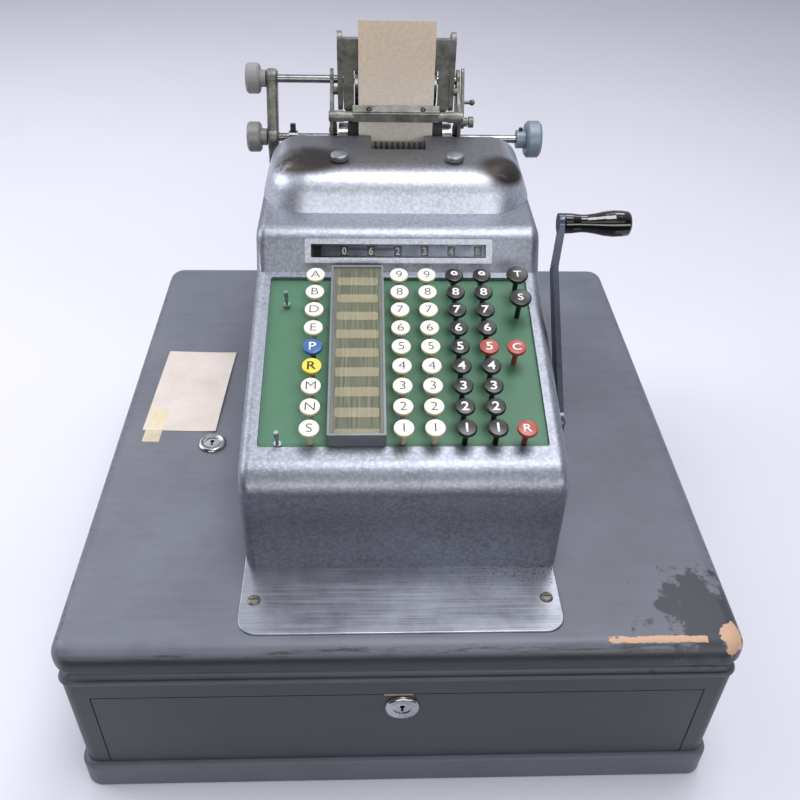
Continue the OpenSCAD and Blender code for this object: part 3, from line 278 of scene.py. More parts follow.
lid_paint = painted_boards("grey_enamel_on_wood_lid", "#70737f", "#5b5e69", (0.12, 1.0, 1.0))
# The fronts and sides take darker copies of the lid's enamel: painted shade.
front_paint_painted_shade = painted_boards("grey_enamel_on_wood_front_painted_shade", "#3d4047", "#303238", (0.08, 1.0, 1.0))
side_paint_painted_shade = painted_boards("grey_enamel_on_wood_sides_painted_shade", "#5c606b", "#4b4e57", (1.0, 0.08, 1.0))
dress(lid_paint, "cabinet_lid")
dress(front_paint_painted_shade, "face_frame", "drawer_front")
dress(side_paint_painted_shade, "cove_moulding", "plinth", "cabinet_carcass")


# Inside of the cabinet. Bottom board, runners, drawer box and till of plain planed softwood, unpainted,
# with the grain along the boards and darkened by handling.
def bare_boards(name, light, dark, grain):
    """Planed wood, with its pattern stretched along the grain."""
    material, tree, shader, place = finish(name, Roughness=0.62, IOR=1.5)
    along = add(tree, "Mapping", {"Vector": place, "Scale": grain})
    wave = add(tree, "TexNoise", {"Vector": along, "Scale": 1 / (6.25 * mm), "Detail": 5.0,
                                  "Distortion": 0.6})
    rings = add(tree, "MapRange", {"Value": wave, "From Min": 0.32, "From Max": 0.68})
    feed(shader, "Base Color", add(tree, "Mix", {0: rings, 6: dark, 7: light}, data_type="RGBA", out=2))
    bump = add(tree, "Bump", {"Height": wave, "Strength": 0.3, "Distance": 0.2 * mm})
    feed(shader, "Normal", bump)
    return material


pine = bare_boards("planed_pine", "#c9a677", "#a17d52", (1.0, 0.07, 1.0))
till_wood = bare_boards("planed_basswood", "#bd9468", "#97714a", (1.0, 0.07, 1.0))
dress(pine, "bottom_board", "drawer_runners", "drawer_box")
dress(till_wood, "till_tray")


# Hammered enamel. Silver-grey enamel sprayed over the cast housing and the pressed cover, whose skin dries in
# small shallow dimples with dark edges; rubbed dark and brownish where hands rest on the cover. The cover's
# and the window bezel's copy is lighter, a painted highlight, except on the cover's top.
dimple, cover_top = 2.2 * mm, 314 * mm
shoulders = (((-66, 80, 317), (36, 26, 12)), ((86, 70, 315), (32, 24, 12)))


def hammered_enamel(name, light, dark, cover_top_and_wear):
    """Dimpled enamel; on the cover its top is darker and greyer, without the painted highlight, and worn
    where handled.
    """
    material, tree, shader, place = finish(name, Metallic=0.9)
    wander = add(tree, "TexNoise", {"Vector": place, "Scale": 1 / (3.333 * mm), "Detail": 2.0}, out="Color")
    bent = add(tree, "Mix", {0: 0.0025, 4: place, 5: wander}, data_type="VECTOR", out=1)
    cell = add(tree, "TexVoronoi", {"Vector": bent, "Scale": 1 / dimple, "Smoothness": 0.7},
               feature="SMOOTH_F1")
    rims = add(tree, "MapRange", {"Value": cell, "From Min": 0.15, "From Max": 0.65})
    cloud = add(tree, "TexNoise", {"Vector": place, "Scale": 1 / (38.46 * mm), "Detail": 6.0,
                                   "Roughness": 0.7})
    shade = add(tree, "Math", {0: rims, 1: cloud}, operation="MULTIPLY")
    paint = add(tree, "Mix", {0: shade, 6: light, 7: dark}, data_type="RGBA", out=2)
    if cover_top_and_wear:
        # The cover's top is darker and greyer, without the brow's painted highlight, and darkest on its two
        # shoulders,
        # # worn by handling
        top = add(tree, "MapRange", {"Value": add(tree, "SeparateXYZ", {0: place}, out="Z"),
                                     "From Min": cover_top, "From Max": cover_top + 3.2 * mm})
        top_without_highlight = add(tree, "Mix", {0: shade, 6: "#8b8c92", 7: "#6b6c72"}, data_type="RGBA", out=2)
        paint = add(tree, "Mix", {0: top, 6: paint, 7: top_without_highlight}, data_type="RGBA", out=2)
        worn = top
        for at, reach in shoulders:
            off = add(tree, "VectorMath", {0: place, 1: [a * mm for a in at]}, operation="SUBTRACT")
            off = add(tree, "VectorMath", {0: off, 1: [1 / (r * mm) for r in reach]}, operation="MULTIPLY")
            far = add(tree, "VectorMath", {0: off}, operation="LENGTH", out="Value")
            mark = add(tree, "MapRange", {"Value": far, "From Min": 0.55, "From Max": 1.05, "To Min": 1.0,
                                          "To Max": 0.0}, interpolation_type="SMOOTHSTEP")
            worn = mark if worn is top else add(tree, "Math", {0: worn, 1: mark}, operation="MAXIMUM")
        spread = add(tree, "MapRange", {"Value": cloud, "From Min": 0.25, "From Max": 0.5})
        worn = add(tree, "Math", {0: worn, 1: spread}, operation="MULTIPLY")
        paint = add(tree, "Mix", {0: worn, 6: paint, 7: "#423c3a"}, data_type="RGBA", out=2)
    feed(shader, "Base Color", paint)
    rough = add(tree, "MapRange", {"Value": cloud, "To Min": 0.38, "To Max": 0.52})
    feed(shader, "Roughness", rough)
    bump = add(tree, "Bump", {"Height": rims, "Strength": 0.36, "Distance": 0.12 * mm}, invert=True)
    feed(shader, "Normal", bump)
    return material


enamel = hammered_enamel("hammered_silver_enamel", "#a0a4af", "#757984", False)
# The cover's lighter copy of the enamel is a painted highlight.
highlit_cover_enamel = hammered_enamel("hammered_silver_enamel_cover_painted_highlight", "#ced2de", "#a2a6b1", True)


# Housing. One casting with walls 3 mm thick: sloping keyboard deck, window's face and flat shelf, with all
# their long edges rounded to 7 mm. It is a bent block hollowed from below, as the sand core leaves it.
machine = Matrix.Translation((1.7 * mm, -160 * mm, 144.2 * mm))
slope, face = math.radians(14.75), math.radians(60)
housing_w, housing_d, shelf_z, wall = 202 * mm, 325 * mm, 146.7 * mm, 3 * mm
deck_y, deck_z, caps_over_deck = 24.6 * mm, 98.2 * mm, 14.5 * mm
crease = (167.546 * mm, 120.841 * mm)
keyboard = machine @ Matrix.Translation((0, deck_y, deck_z)) @ Matrix.Rotation(slope, 4, "X")
window = machine @ Matrix.Translation((0, *crease)) @ Matrix.Rotation(face, 4, "X")


def bend(centre, radius, start, end, steps=16):
    """The points of an arc between two angles in degrees."""
    angles = [math.radians(start + (end - start) * i / steps) for i in range(steps + 1)]
    return [(centre[0] + radius * math.cos(a), centre[1] + radius * math.sin(a)) for a in angles]


def ring(radius, at=(0, 0)):
    """The points of a circle."""
    return [(at[0] + radius * math.cos(i * math.pi / 24), at[1] + radius * math.sin(i * math.pi / 24))
            for i in range(48)]


def oblong(left, low, right, high):
    """The corners of a rectangle, in order."""
    return [(left, low), (right, low), (right, high), (left, high)]


def prism(outline, half_width):
    """A block along x whose side outline is given as (y, z) points."""
    work = bmesh.new()
    rings = [[work.verts.new((x, y, z)) for y, z in outline] for x in (-half_width, half_width)]
    work.faces.new(rings[0])
    work.faces.new(list(reversed(rings[1])))
    for i in range(len(outline)):
        j = (i + 1) % len(outline)
        work.faces.new((rings[0][j], rings[0][i], rings[1][i], rings[1][j]))
    bmesh.ops.recalc_face_normals(work, faces=work.faces)
    return work


def rounded_plan(width, depth, radius, steps=8):
    """The outline of a rectangle with rounded corners, centred on the origin."""
    points = []
    for side_x, side_y, start in ((1, 1, 0), (-1, 1, 90), (-1, -1, 180), (1, -1, 270)):
        centre = (side_x * (width / 2 - radius), side_y * (depth / 2 - radius))
        points += bend(centre, radius, start, start + 90, steps)
    return points


def slab(plan, low, high, matrix=Matrix()):
    """A plate with the given plan outline between two heights, placed by a matrix."""
    work = bmesh.new()
    rings = [[work.verts.new((x, y, z)) for x, y in plan] for z in (low, high)]
    work.faces.new(list(reversed(rings[0])))
    work.faces.new(rings[1])
    for i in range(len(plan)):
        j = (i + 1) % len(plan)
        work.faces.new((rings[0][i], rings[0][j], rings[1][j], rings[1][i]))
    bmesh.ops.transform(work, matrix=matrix, verts=work.verts)
    return work


def meshed(work, name):
    """A mesh made from finished work."""
    mesh = bpy.data.meshes.new(name)
    work.to_mesh(mesh)
    work.free()
    return mesh


def tooled(mesh, tools, operation="DIFFERENCE"):
    """The mesh after each tool mesh is cut from it or joined to it."""
    blank = bpy.data.objects.new("blank", mesh)
    bpy.context.scene.collection.objects.link(blank)
    helpers = []
    for tool in tools:
        helper = bpy.data.objects.new("tool", tool)
        bpy.context.scene.collection.objects.link(helper)
        cut = blank.modifiers.new("cut", "BOOLEAN")
        cut.object, cut.operation, cut.solver = helper, operation, "EXACT"
        helpers.append(helper)
    result = bpy.data.meshes.new_from_object(blank.evaluated_get(bpy.context.evaluated_depsgraph_get()))
    for done in (blank, *helpers):
        bpy.data.objects.remove(done)
    return result


def smooth(mesh, angle=32):
    """Shades a mesh smoothly, but for edges sharper than an angle in degrees."""
    mesh.shade_smooth()
    mesh.set_sharp_from_angle(angle=math.radians(angle))
    return mesh


def even(mesh):
    """Weights the normals by face area, so that flats stay flat beside their rounded edges."""
    blank = bpy.data.objects.new("blank", mesh)
    bpy.context.scene.collection.objects.link(blank)
    weigh = blank.modifiers.new("weigh", "WEIGHTED_NORMAL")
    weigh.keep_sharp = True
    result = bpy.data.meshes.new_from_object(blank.evaluated_get(bpy.context.evaluated_depsgraph_get()))
    bpy.data.objects.remove(blank)
    return result


def housing_outline(inward, foot):
    """The casting's side outline as (y, z) points, moved inwards, down to a height."""
    front_r, shelf_r = 20 * mm, 14 * mm
    tan_slope = math.tan(slope)
    arc_z = deck_z + (front_r - deck_y) * tan_slope - (caps_over_deck + front_r) / math.cos(slope)
    arc_in = shelf_r * math.tan(face / 2)
    shelf_y = crease[0] + (shelf_z - crease[1]) / math.tan(face)
    # Where the deck and the window's face meet, moved inwards
    y, z = crease[0] + inward * math.sin(face), crease[1] - inward * math.cos(face)
    deck = deck_z + (y - deck_y) * tan_slope - (caps_over_deck + inward) / math.cos(slope)
    t = (deck - z) / (math.sin(face) - tan_slope * math.cos(face))
    return ([(inward, foot)] + bend((front_r, arc_z), front_r - inward, 180, 90 + math.degrees(slope))
            + [(y + t * math.cos(face), z + t * math.sin(face))]
            + bend((shelf_y + arc_in, shelf_z - shelf_r), shelf_r - inward, 150, 90)
            + bend((housing_d - shelf_r, shelf_z - shelf_r), shelf_r - inward, 90, 0)
            + [(housing_d - inward, foot)])


work = prism(housing_outline(0, 0), housing_w / 2)
long_edges = [e for e in work.edges if abs(e.verts[0].co.x - e.verts[1].co.x) < 1e-6
              and max(v.co.z for v in e.verts) > 0.1 * mm]
bmesh.ops.bevel(work, geom=long_edges, offset=7 * mm, offset_type="OFFSET", segments=7, profile=0.5,
                affect="EDGES", clamp_overlap=False)
bmesh.ops.transform(work, matrix=machine, verts=work.verts)
block = meshed(work, "block")
core = prism(housing_outline(wall, -1 * mm), housing_w / 2 - wall)
bmesh.ops.transform(core, matrix=machine, verts=core.verts)
crank_y, crank_z, crank_boss_r, crank_bore_r = 74 * mm, 61.7 * mm, 10 * mm, 5.06 * mm
crank_axis = machine @ Matrix.Translation((0, crank_y, crank_z)) @ Matrix.Rotation(math.pi / 2, 4, "Y")
boss = slab(ring(crank_boss_r), 90 * mm, 104 * mm, crank_axis)
bore = slab(ring(crank_bore_r), 60 * mm, 140 * mm, crank_axis)
opening = slab(rounded_plan(180 * mm, 143.4 * mm, 2 * mm), -22 * mm, -8 * mm,
               keyboard @ Matrix.Translation((0, 67.3 * mm, 0)))
pane_hole = slab(rounded_plan(127.4 * mm, 13 * mm, 1 * mm), -6 * mm, 3 * mm,
                 window @ Matrix.Translation((0, 14.9 * mm, 0)))
type_slot = slab(oblong(-19.75 * mm, 272.7 * mm, 23.25 * mm, 281.3 * mm), shelf_z - 5 * mm, shelf_z + 2 * mm,
                 machine)
shell = tooled(block, [meshed(core, "core")])
shell = tooled(shell, [meshed(boss, "boss")], "UNION")
shell = tooled(shell, [meshed(w, "cut") for w in (bore, opening, pane_hole, type_slot)])
piece("housing_casting", even(smooth(shell)), "cabinet", enamel, replaces=("housing",), slot="hammertone")
# The cover and the window bezel take the lighter enamel: painted highlight.
dress(highlit_cover_enamel, "top_cover", "window_bezel")


# Window. A clear pane over a dark mask, with a number wheel behind each opening; the figures are white,
# printed on the wheels' black enamel. Six of the seven openings have a wheel. The pane and the mask grow
# paler towards the right: a painted reflection.
clear, tree, shader, place = finish("clear_celluloid_painted_reflection", Roughness=0.06, IOR=1.5)
haze = add(tree, "TexNoise", {"Vector": place, "Scale": 1 / (11.11 * mm), "Detail": 4.0})
feed(shader, "Base Color", add(tree, "Mix", {0: haze, 6: "#8c9098", 7: "#c8ccd4"}, data_type="RGBA", out=2))
# The pane grows paler and less clear towards the right: a painted reflection.
along = add(tree, "SeparateXYZ", {0: place}, out="X")
along = add(tree, "MapRange", {"Value": along, "From Min": -40 * mm, "From Max": 60 * mm, "To Min": 0.02,
                               "To Max": 0.2})
feed(shader, "Alpha", along)
mask_painted_reflection, tree, shader, place = finish("blued_steel_mask_painted_reflection", Metallic=0.5, Roughness=0.3)
# The mask runs from dark on the left to pale blue-grey on the right, broken by noise: a painted reflection.
along = add(tree, "SeparateXYZ", {0: place}, out="X")
along = add(tree, "MapRange", {"Value": along, "From Min": -60 * mm, "From Max": 75 * mm})
smear = add(tree, "TexNoise", {"Vector": place, "Scale": 1 / (8.333 * mm), "Detail": 4.0})
along = add(tree, "Math", {0: along, 1: smear}, operation="MULTIPLY")
along = add(tree, "MapRange", {"Value": along, "From Max": 0.55})
feed(shader, "Base Color", add(tree, "Mix", {0: along, 6: "#20242d", 7: "#aab4c6"}, data_type="RGBA", out=2))
dress(clear, "window_glass")
dress(mask_painted_reflection, "window_mask")

black_enamel = mottled("black_wheel_enamel", "#0c0d10", "#1b1d21", 3.846, 3.0, Roughness=0.35)
white_print = mottled("white_filled_figures", "#e6e6e0", "#fbfbf7", 2.5, 3.0, Roughness=0.5)


def figure(text, height, width=1.0, weight=0.0, thick=0.05 * mm):
    """A letter or a figure as a flat mesh, centred on the origin and facing up."""
    curve = bpy.data.curves.new("figure", "FONT")
    curve.body, curve.offset = text, weight
    curve.resolution_u = 6
    writing = bpy.data.objects.new("figure", curve)
    bpy.context.scene.collection.objects.link(writing)
    mesh = bpy.data.meshes.new_from_object(writing.evaluated_get(bpy.context.evaluated_depsgraph_get()))
    bpy.data.objects.remove(writing)
    work = bmesh.new()
    work.from_mesh(mesh)
    xs, ys = ([v.co[i] for v in work.verts] for i in (0, 1))
    middle_x, middle_y = (min(xs) + max(xs)) / 2, (min(ys) + max(ys)) / 2
    scale = height / 0.7        # a capital is 0.7 high in a font of size 1
    for v in work.verts:
        v.co = Vector(((v.co.x - middle_x) * scale * width, (v.co.y - middle_y) * scale, 0))
    faces = bmesh.ops.extrude_face_region(work, geom=work.faces[:])["geom"]
    bmesh.ops.translate(work, verts=[g for g in faces if isinstance(g, bmesh.types.BMVert)],
                        vec=(0, 0, thick))
    bmesh.ops.recalc_face_normals(work, faces=work.faces)
    work.to_mesh(mesh)
    work.free()
    return mesh


def joined(parts, name):
    """One mesh from (mesh, matrix) pairs."""
    work = bmesh.new()
    for mesh, matrix in parts:
        part = mesh.copy()
        part.transform(matrix)
        work.from_mesh(part)
        bpy.data.meshes.remove(part)
    return meshed(work, name)


key_pitch_x, key_pitch_y = 19.05 * mm, 16 * mm
column_x = [-0.5 * mm + key_pitch_x * (c - 3) for c in range(7)]
wheel_r, wheel_at, figure_tall = 15 * mm, (191.624 * mm, 124.144 * mm), 5.2 * mm
for number, shown in zip(range(1, 7), (0, 6, 2, 3, 4, 8)):
    dress(black_enamel, f"number_wheel_{number}")
    figures = []
    for digit in range(10):
        # The wheel is seen square to the window's face, where the shown figure stands upright
        spin = face - (digit - shown) * math.radians(36)
        around = (Matrix.Translation((column_x[number], *wheel_at)) @ Matrix.Rotation(spin, 4, "X")
                  @ Matrix.Translation((0, 0, wheel_r - 0.02 * mm)))
        shape = figure(str(digit), figure_tall, width=0.85, weight=0.02, thick=0.06 * mm)
        figures.append((shape, machine @ around))
    piece(f"wheel_figures_{number}", joined(figures, "figures"), f"wheel_{number}", white_print,
          slot="wheel_black")


# Keyboard plate. Steel sheet sprayed with mid green enamel, slightly faded, held under the deck's opening;
# the key stems come up through it.
green, tree, shader, place = finish("green_enamel_plate", Roughness=0.5, IOR=1.5)
cloud = add(tree, "TexNoise", {"Vector": place, "Scale": 1 / (33.33 * mm), "Detail": 8.0, "Roughness": 0.7})
feed(shader, "Base Color", add(tree, "Mix", {0: cloud, 6: "#3f6c54", 7: "#4c7d5f"}, data_type="RGBA", out=2))
grit = add(tree, "TexNoise", {"Vector": place, "Scale": 1 / (1.111 * mm), "Detail": 2.0})
feed(shader, "Normal", add(tree, "Bump", {"Height": grit, "Strength": 0.15, "Distance": 0.1 * mm}))
dress(green, "keyboard_plate")


# Keys. Moulded plastic caps with a flat top and a coned underside, white, black, blue, yellow and red, each
# with its sunk figure filled with paint. A row of keys is one cap repeated up the slope.
cap_d, large_cap_d, figure_h, small_figure_h = 12.6 * mm, 15 * mm, 6.4 * mm, 5.6 * mm
rows = bpy.data.node_groups.new("row_up_the_slope", "GeometryNodeTree")
for name, kind in (("Shape", "Geometry"), ("Count", "Int"), ("Step", "Vector"), ("Finish", "Material")):
    rows.interface.new_socket(name, in_out="INPUT", socket_type=f"NodeSocket{kind}")
rows.interface.new_socket("Row", in_out="OUTPUT", socket_type="NodeSocketGeometry")
given = rows.nodes.new("NodeGroupInput").outputs
line = add(rows, "MeshLine", {"Count": given["Count"], "Offset": given["Step"]}, mode="OFFSET")
placed = add(rows, "InstanceOnPoints", {"Points": line, "Instance": given["Shape"]})
real = add(rows, "RealizeInstances", {0: placed})
painted = add(rows, "SetMaterial", {0: real, "Material": given["Finish"]})
rows.links.new(painted, rows.nodes.new("NodeGroupOutput").inputs[0])


def repeated(mesh, group, **values):
    """The mesh after a geometry tree has repeated it."""
    blank = bpy.data.objects.new("blank", mesh)
    bpy.context.scene.collection.objects.link(blank)
    repeat = blank.modifiers.new("repeat", "NODES")
    repeat.node_group = group
    for socket in group.interface.items_tree:
        if socket.in_out == "INPUT" and socket.name in values:
            repeat[socket.identifier] = values[socket.name]
    result = bpy.data.meshes.new_from_object(blank.evaluated_get(bpy.context.evaluated_depsgraph_get()))
    bpy.data.objects.remove(blank)
    return result


def turned(profile, steps=48):
    """A closed turned shape about z from (radius, height) points, bottom to top."""
    work = bmesh.new()
    rings = []
    for r, z in profile:
        if r < 1e-7:
            rings.append([work.verts.new((0, 0, z))])
        else:
            angles = [2 * math.pi * i / steps for i in range(steps)]
            rings.append([work.verts.new((r * math.cos(a), r * math.sin(a), z)) for a in angles])
    for low, high in zip(rings, rings[1:]):
        for i in range(steps):
            j = (i + 1) % steps
            corners = [low[i % len(low)], low[j % len(low)], high[j % len(high)], high[i % len(high)]]
            corners = list(dict.fromkeys(corners))
            if len(corners) > 2:
                work.faces.new(corners)
    bmesh.ops.recalc_face_normals(work, faces=work.faces)
    return work


def key_cap(diameter):
    """A cap with its stem, whose flat top is 0.2 mm under the origin."""
    r = diameter / 2 / mm
    profile = [(0, -30), (1.8, -30), (1.8, -7), (2.8, -7), (3.4, -6.8), (r - 1.6, -4.6), (r - 0.7, -2.9),
               (r - 0.15, -2.5), (r, -2.2), (r, -0.95), (r - 0.12, -0.55), (r - 0.45, -0.3), (r - 1.0, -0.2),
               (0, -0.2)]
    return smooth(meshed(turned([(x * mm, z * mm) for x, z in profile]), "cap"), 40)


def cap_plastic(name, top, side):
    """Moulded plastic, lighter on top than down its side: painted shade on the coned underside, with dirt
    there too.
    """
    material, tree, shader, place = finish(name, Roughness=0.28, IOR=1.5)
    up = add(tree, "SeparateXYZ", {0: add(tree, "NewGeometry", out="True Normal")}, out="Z")
    up = add(tree, "MapRange", {"Value": up, "From Min": 0.2, "From Max": 0.85})
    dirt = add(tree, "TexNoise", {"Vector": place, "Scale": 1 / (6.25 * mm), "Detail": 5.0, "Roughness": 0.7})
    dirt = add(tree, "MapRange", {"Value": dirt, "From Min": 0.25, "From Max": 0.5, "To Min": 0.6})
    lit_clean_top = add(tree, "Math", {0: up, 1: dirt}, operation="MULTIPLY")
    feed(shader, "Base Color", add(tree, "Mix", {0: lit_clean_top, 6: side, 7: top}, data_type="RGBA", out=2))
    return material


white_plastic = cap_plastic("white_moulded_plastic", "#e9e7e0", "#c3ba98")
black_plastic = cap_plastic("black_moulded_plastic", "#16181c", "#0d0e10")
blue_plastic = cap_plastic("blue_moulded_plastic", "#3f66a3", "#2c4876")
yellow_plastic = cap_plastic("yellow_moulded_plastic", "#e8d552", "#a8983c")
red_plastic = cap_plastic("red_moulded_plastic", "#a8493f", "#7d332b")
dark_print = mottled("black_filled_figures", "#17181b", "#34363a", 2, 3.0, Roughness=0.5)


def key_run(x, s, rise, diameter, count, plastic):
    """A row of equal keys from x across and s up the slope, placed in the object's frame."""
    row = repeated(key_cap(diameter), rows, Count=count, Step=(0, key_pitch_y, 0), Finish=plastic)
    row.transform(keyboard @ Matrix.Translation((x, s, rise)))
    return row


def legends(name, body, finish_used, marks, slot_name):
    """Figures (text, x, s, rise, height, weight) laid on the caps, one mesh for a body."""
    wider, sunk = 1.12, 0.21 * mm
    parts = [(figure(text, height, wider, weight), keyboard @ Matrix.Translation((x, s, rise - sunk)))
             for text, x, s, rise, height, weight in marks]
    return piece(name, joined(parts, "figures"), body, finish_used, slot=slot_name)


def mixed(runs):
    """One mesh from (mesh, material) pairs, whose faces keep their materials."""
    skins = []
    work = bmesh.new()
    for mesh, skin in runs:
        skins += [skin] if skin not in skins else []
        start = len(work.faces)
        work.from_mesh(mesh)
        work.faces.ensure_lookup_table()
        for f in work.faces[start:]:
            f.material_index = skins.index(skin)
    made = smooth(meshed(work, "caps"), 40)
    for skin in skins:
        made.materials.append(skin)
    return made


def column_of_caps(column, runs):
    """Key caps of one column from (first row, how many, plastic) runs."""
    x = column_x[column]
    return mixed([(key_run(x, (first - 1) * key_pitch_y, 0, cap_d, count, plastic), plastic)
                  for first, count, plastic in runs])


letter_runs = [(1, 3, white_plastic), (4, 1, yellow_plastic), (5, 1, blue_plastic), (6, 4, white_plastic)]
piece("letter_caps", column_of_caps(0, letter_runs), "letters", replaces=("letter_keys",), slot="key_white")
digit_runs = {3: [(1, 9, white_plastic)], 4: [(1, 9, white_plastic)], 5: [(1, 9, black_plastic)],
              6: [(1, 4, black_plastic), (5, 1, red_plastic), (6, 4, black_plastic)]}
for column, runs in digit_runs.items():
    number = column - 2
    if column < 5:
        skin_slot, print_used, weight = "key_white", dark_print, -0.012
    else:
        skin_slot, print_used, weight = "key_black", white_print, 0.02
    piece(f"digit_caps_{number}", column_of_caps(column, runs), f"digits_{number}",
          replaces=(f"number_keys_{number}",), slot=skin_slot)
    legends(f"digit_figures_{number}", f"digits_{number}", print_used,
            [(str(d), column_x[column], (d - 1) * key_pitch_y, 0, figure_h, weight) for d in range(1, 10)],
            skin_slot)
letters = dict(zip((1, 2, 3, 4, 6, 7, 8, 9), "SNMREDBA"))
legends("letter_figures", "letters", dark_print,
        [(text, column_x[0], (row - 1) * key_pitch_y, 0, figure_h, 0.01 if row == 4 else -0.012)
         for row, text in letters.items()], "key_white")
legends("letter_figure_light", "letters", white_print,
        [("P", column_x[0], 4 * key_pitch_y, 0, figure_h, 0.01)], "key_white")
# Function keys: body, letter, place across and up the slope and rise in millimetres, diameter, plastic, slot
for body, text, across, up, rise, diameter, plastic, skin_slot in (
        ("total", "T", 80.8, 126, 3, large_cap_d, black_plastic, "key_black"),
        ("subtotal", "S", 80.8, 104.5, 3, large_cap_d, black_plastic, "key_black"),
        ("correction", "C", 74.5, 63.5, 0, cap_d, red_plastic, "key_red"),
        ("repeat", "R", 74.5, -0.5, 0, cap_d, red_plastic, "key_red")):
    at = (across * mm, up * mm, rise * mm)
    piece(f"{body}_cap", key_run(*at, diameter, 1, plastic), body, plastic, replaces=(f"{body}_key",),
          slot=skin_slot)
    legends(f"{body}_figure", body, white_print, [(text, *at, small_figure_h, 0.015)], skin_slot)


# Label holder. A channel of grey-painted sheet metal under a window of aged celluloid, over nine tan card
# labels laid on a green card; the window is rubbed with fine lines along its length.
grey_sheet = mottled("grey_painted_sheet", "#62666c", "#8b8f93", 14.29, 6.0, 0.7, Metallic=0.35,
                     Roughness=0.4)
celluloid, tree, shader, place = finish("aged_celluloid", Roughness=0.3, IOR=1.5)
scratch = add(tree, "Mapping", {"Vector": place, "Scale": (1.0, 0.02, 0.02)})
scratch = add(tree, "TexNoise", {"Vector": scratch, "Scale": 1 / (0.6667 * mm), "Detail": 4.0})
scratch = add(tree, "MapRange", {"Value": scratch, "From Min": 0.4, "From Max": 0.75})
rubbed = add(tree, "Mix", {0: scratch, 6: "#8f917a", 7: "#b4b49c"}, data_type="RGBA", out=2)
feed(shader, "Base Color", rubbed)
clouding = add(tree, "MapRange", {"Value": scratch, "To Min": 0.20, "To Max": 0.36})
feed(shader, "Alpha", clouding)
card = mottled("tan_card", "#b7a585", "#cbbca0", 7.143, 5.0, Roughness=0.8)
dress(grey_sheet, "label_holder")
dress(celluloid, "label_window")
dress(card, "label_strips")
green_card = mottled("green_card", "#2a3c2f", "#394e3e", 6.25, 6.0, Roughness=0.8)
label_x = (column_x[1] + column_x[2]) / 2
backing = slab(rounded_plan(29.4 * mm, 138.8 * mm, 0.3 * mm), -9.45 * mm, -9.2 * mm,
               keyboard @ Matrix.Translation((label_x, 67.3 * mm, 0)))
piece("label_backing", meshed(backing, "backing"), "cabinet", green_card, slot="label_card")


# Bright steel. Turned and plated parts: thumb screws, posts, shafts, locks and the wear plate's screws, with
# turning or rubbing marks, drawn coarser than they are so that they show, and a little dirt.
knob_edge_x = -98.5 * mm


def plated_steel(name, light, dark, roughness, marks):
    """Bright metal, with its rubbing marks stretched by marks."""
    material, tree, shader, place = finish(name, Metallic=1.0)
    lines = add(tree, "Mapping", {"Vector": place, "Scale": marks})
    lines = add(tree, "TexNoise", {"Vector": lines, "Scale": 1 / (1.429 * mm), "Detail": 4.0})
    cloud = add(tree, "TexNoise", {"Vector": place, "Scale": 1 / (22.22 * mm), "Detail": 7.0,
                                   "Roughness": 0.7})
    dirt = add(tree, "MapRange", {"Value": cloud, "From Min": 0.35, "From Max": 0.65})
    feed(shader, "Base Color", add(tree, "Mix", {0: dirt, 6: light, 7: dark}, data_type="RGBA", out=2))
    rough = add(tree, "MapRange", {"Value": lines, "To Min": roughness - 0.08, "To Max": roughness + 0.1})
    feed(shader, "Roughness", rough)
    bump = add(tree, "Bump", {"Height": lines, "Strength": 0.12, "Distance": 0.1 * mm})
    feed(shader, "Normal", bump)
    return material


head_steel = plated_steel("worn_silver_enamel_on_steel", "#a9abb2", "#7d7f86", 0.48, (1.0, 1.0, 1.0))
screw_steel = plated_steel("turned_steel", "#b9bcc2", "#85878d", 0.28, (1.0, 1.0, 1.0))
shaft_steel = plated_steel("drawn_steel_rod", "#a7a8a9", "#6f6e6b", 0.26, (0.04, 1.0, 1.0))
# The shaft's left end carries a knob of rough grey cast metal, dull as the side arm
tree = shaft_steel.node_tree
shader = tree.nodes["Principled BSDF"]
place = add(tree, "TexCoord", out="Object")
knob = add(tree, "Math", {0: add(tree, "SeparateXYZ", {0: place}, out="X"), 1: knob_edge_x},
           operation="LESS_THAN")
grain = add(tree, "TexNoise", {"Vector": place, "Scale": 1 / (2.381 * mm), "Detail": 6.0, "Roughness": 0.7})
steel = shader.inputs["Base Color"].links[0].from_socket
cast_grey = add(tree, "Mix", {0: grain, 6: "#77767a", 7: "#a1a1a2"}, data_type="RGBA", out=2)
feed(shader, "Base Color", add(tree, "Mix", {0: knob, 6: steel, 7: cast_grey}, data_type="RGBA", out=2))
feed(shader, "Metallic", add(tree, "Math", {0: 1.0, 1: knob}, operation="SUBTRACT"))
polish = shader.inputs["Roughness"].links[0].from_socket
dull_knob = add(tree, "Math", {0: knob, 1: 0.7}, operation="MULTIPLY")
feed(shader, "Roughness", add(tree, "Math", {0: polish, 1: dull_knob}, operation="MAXIMUM"))
lock_nickel = plated_steel("nickel_plated_brass", "#c0c1c4", "#8c8c8d", 0.24, (1.0, 1.0, 1.0))
aged_steel = plated_steel("aged_screw_steel", "#83807a", "#54504a", 0.42, (1.0, 1.0, 1.0))
dress(screw_steel, "plate_posts")
dress(aged_steel, "wear_plate_screws")
dress(head_steel, "thumb_screw_left", "thumb_screw_right")
dress(shaft_steel, "platen_shaft", "roll_spindle")
dress(lock_nickel, "lid_lock_case", "lid_lock_plug", "drawer_lock_case", "drawer_lock_plug")


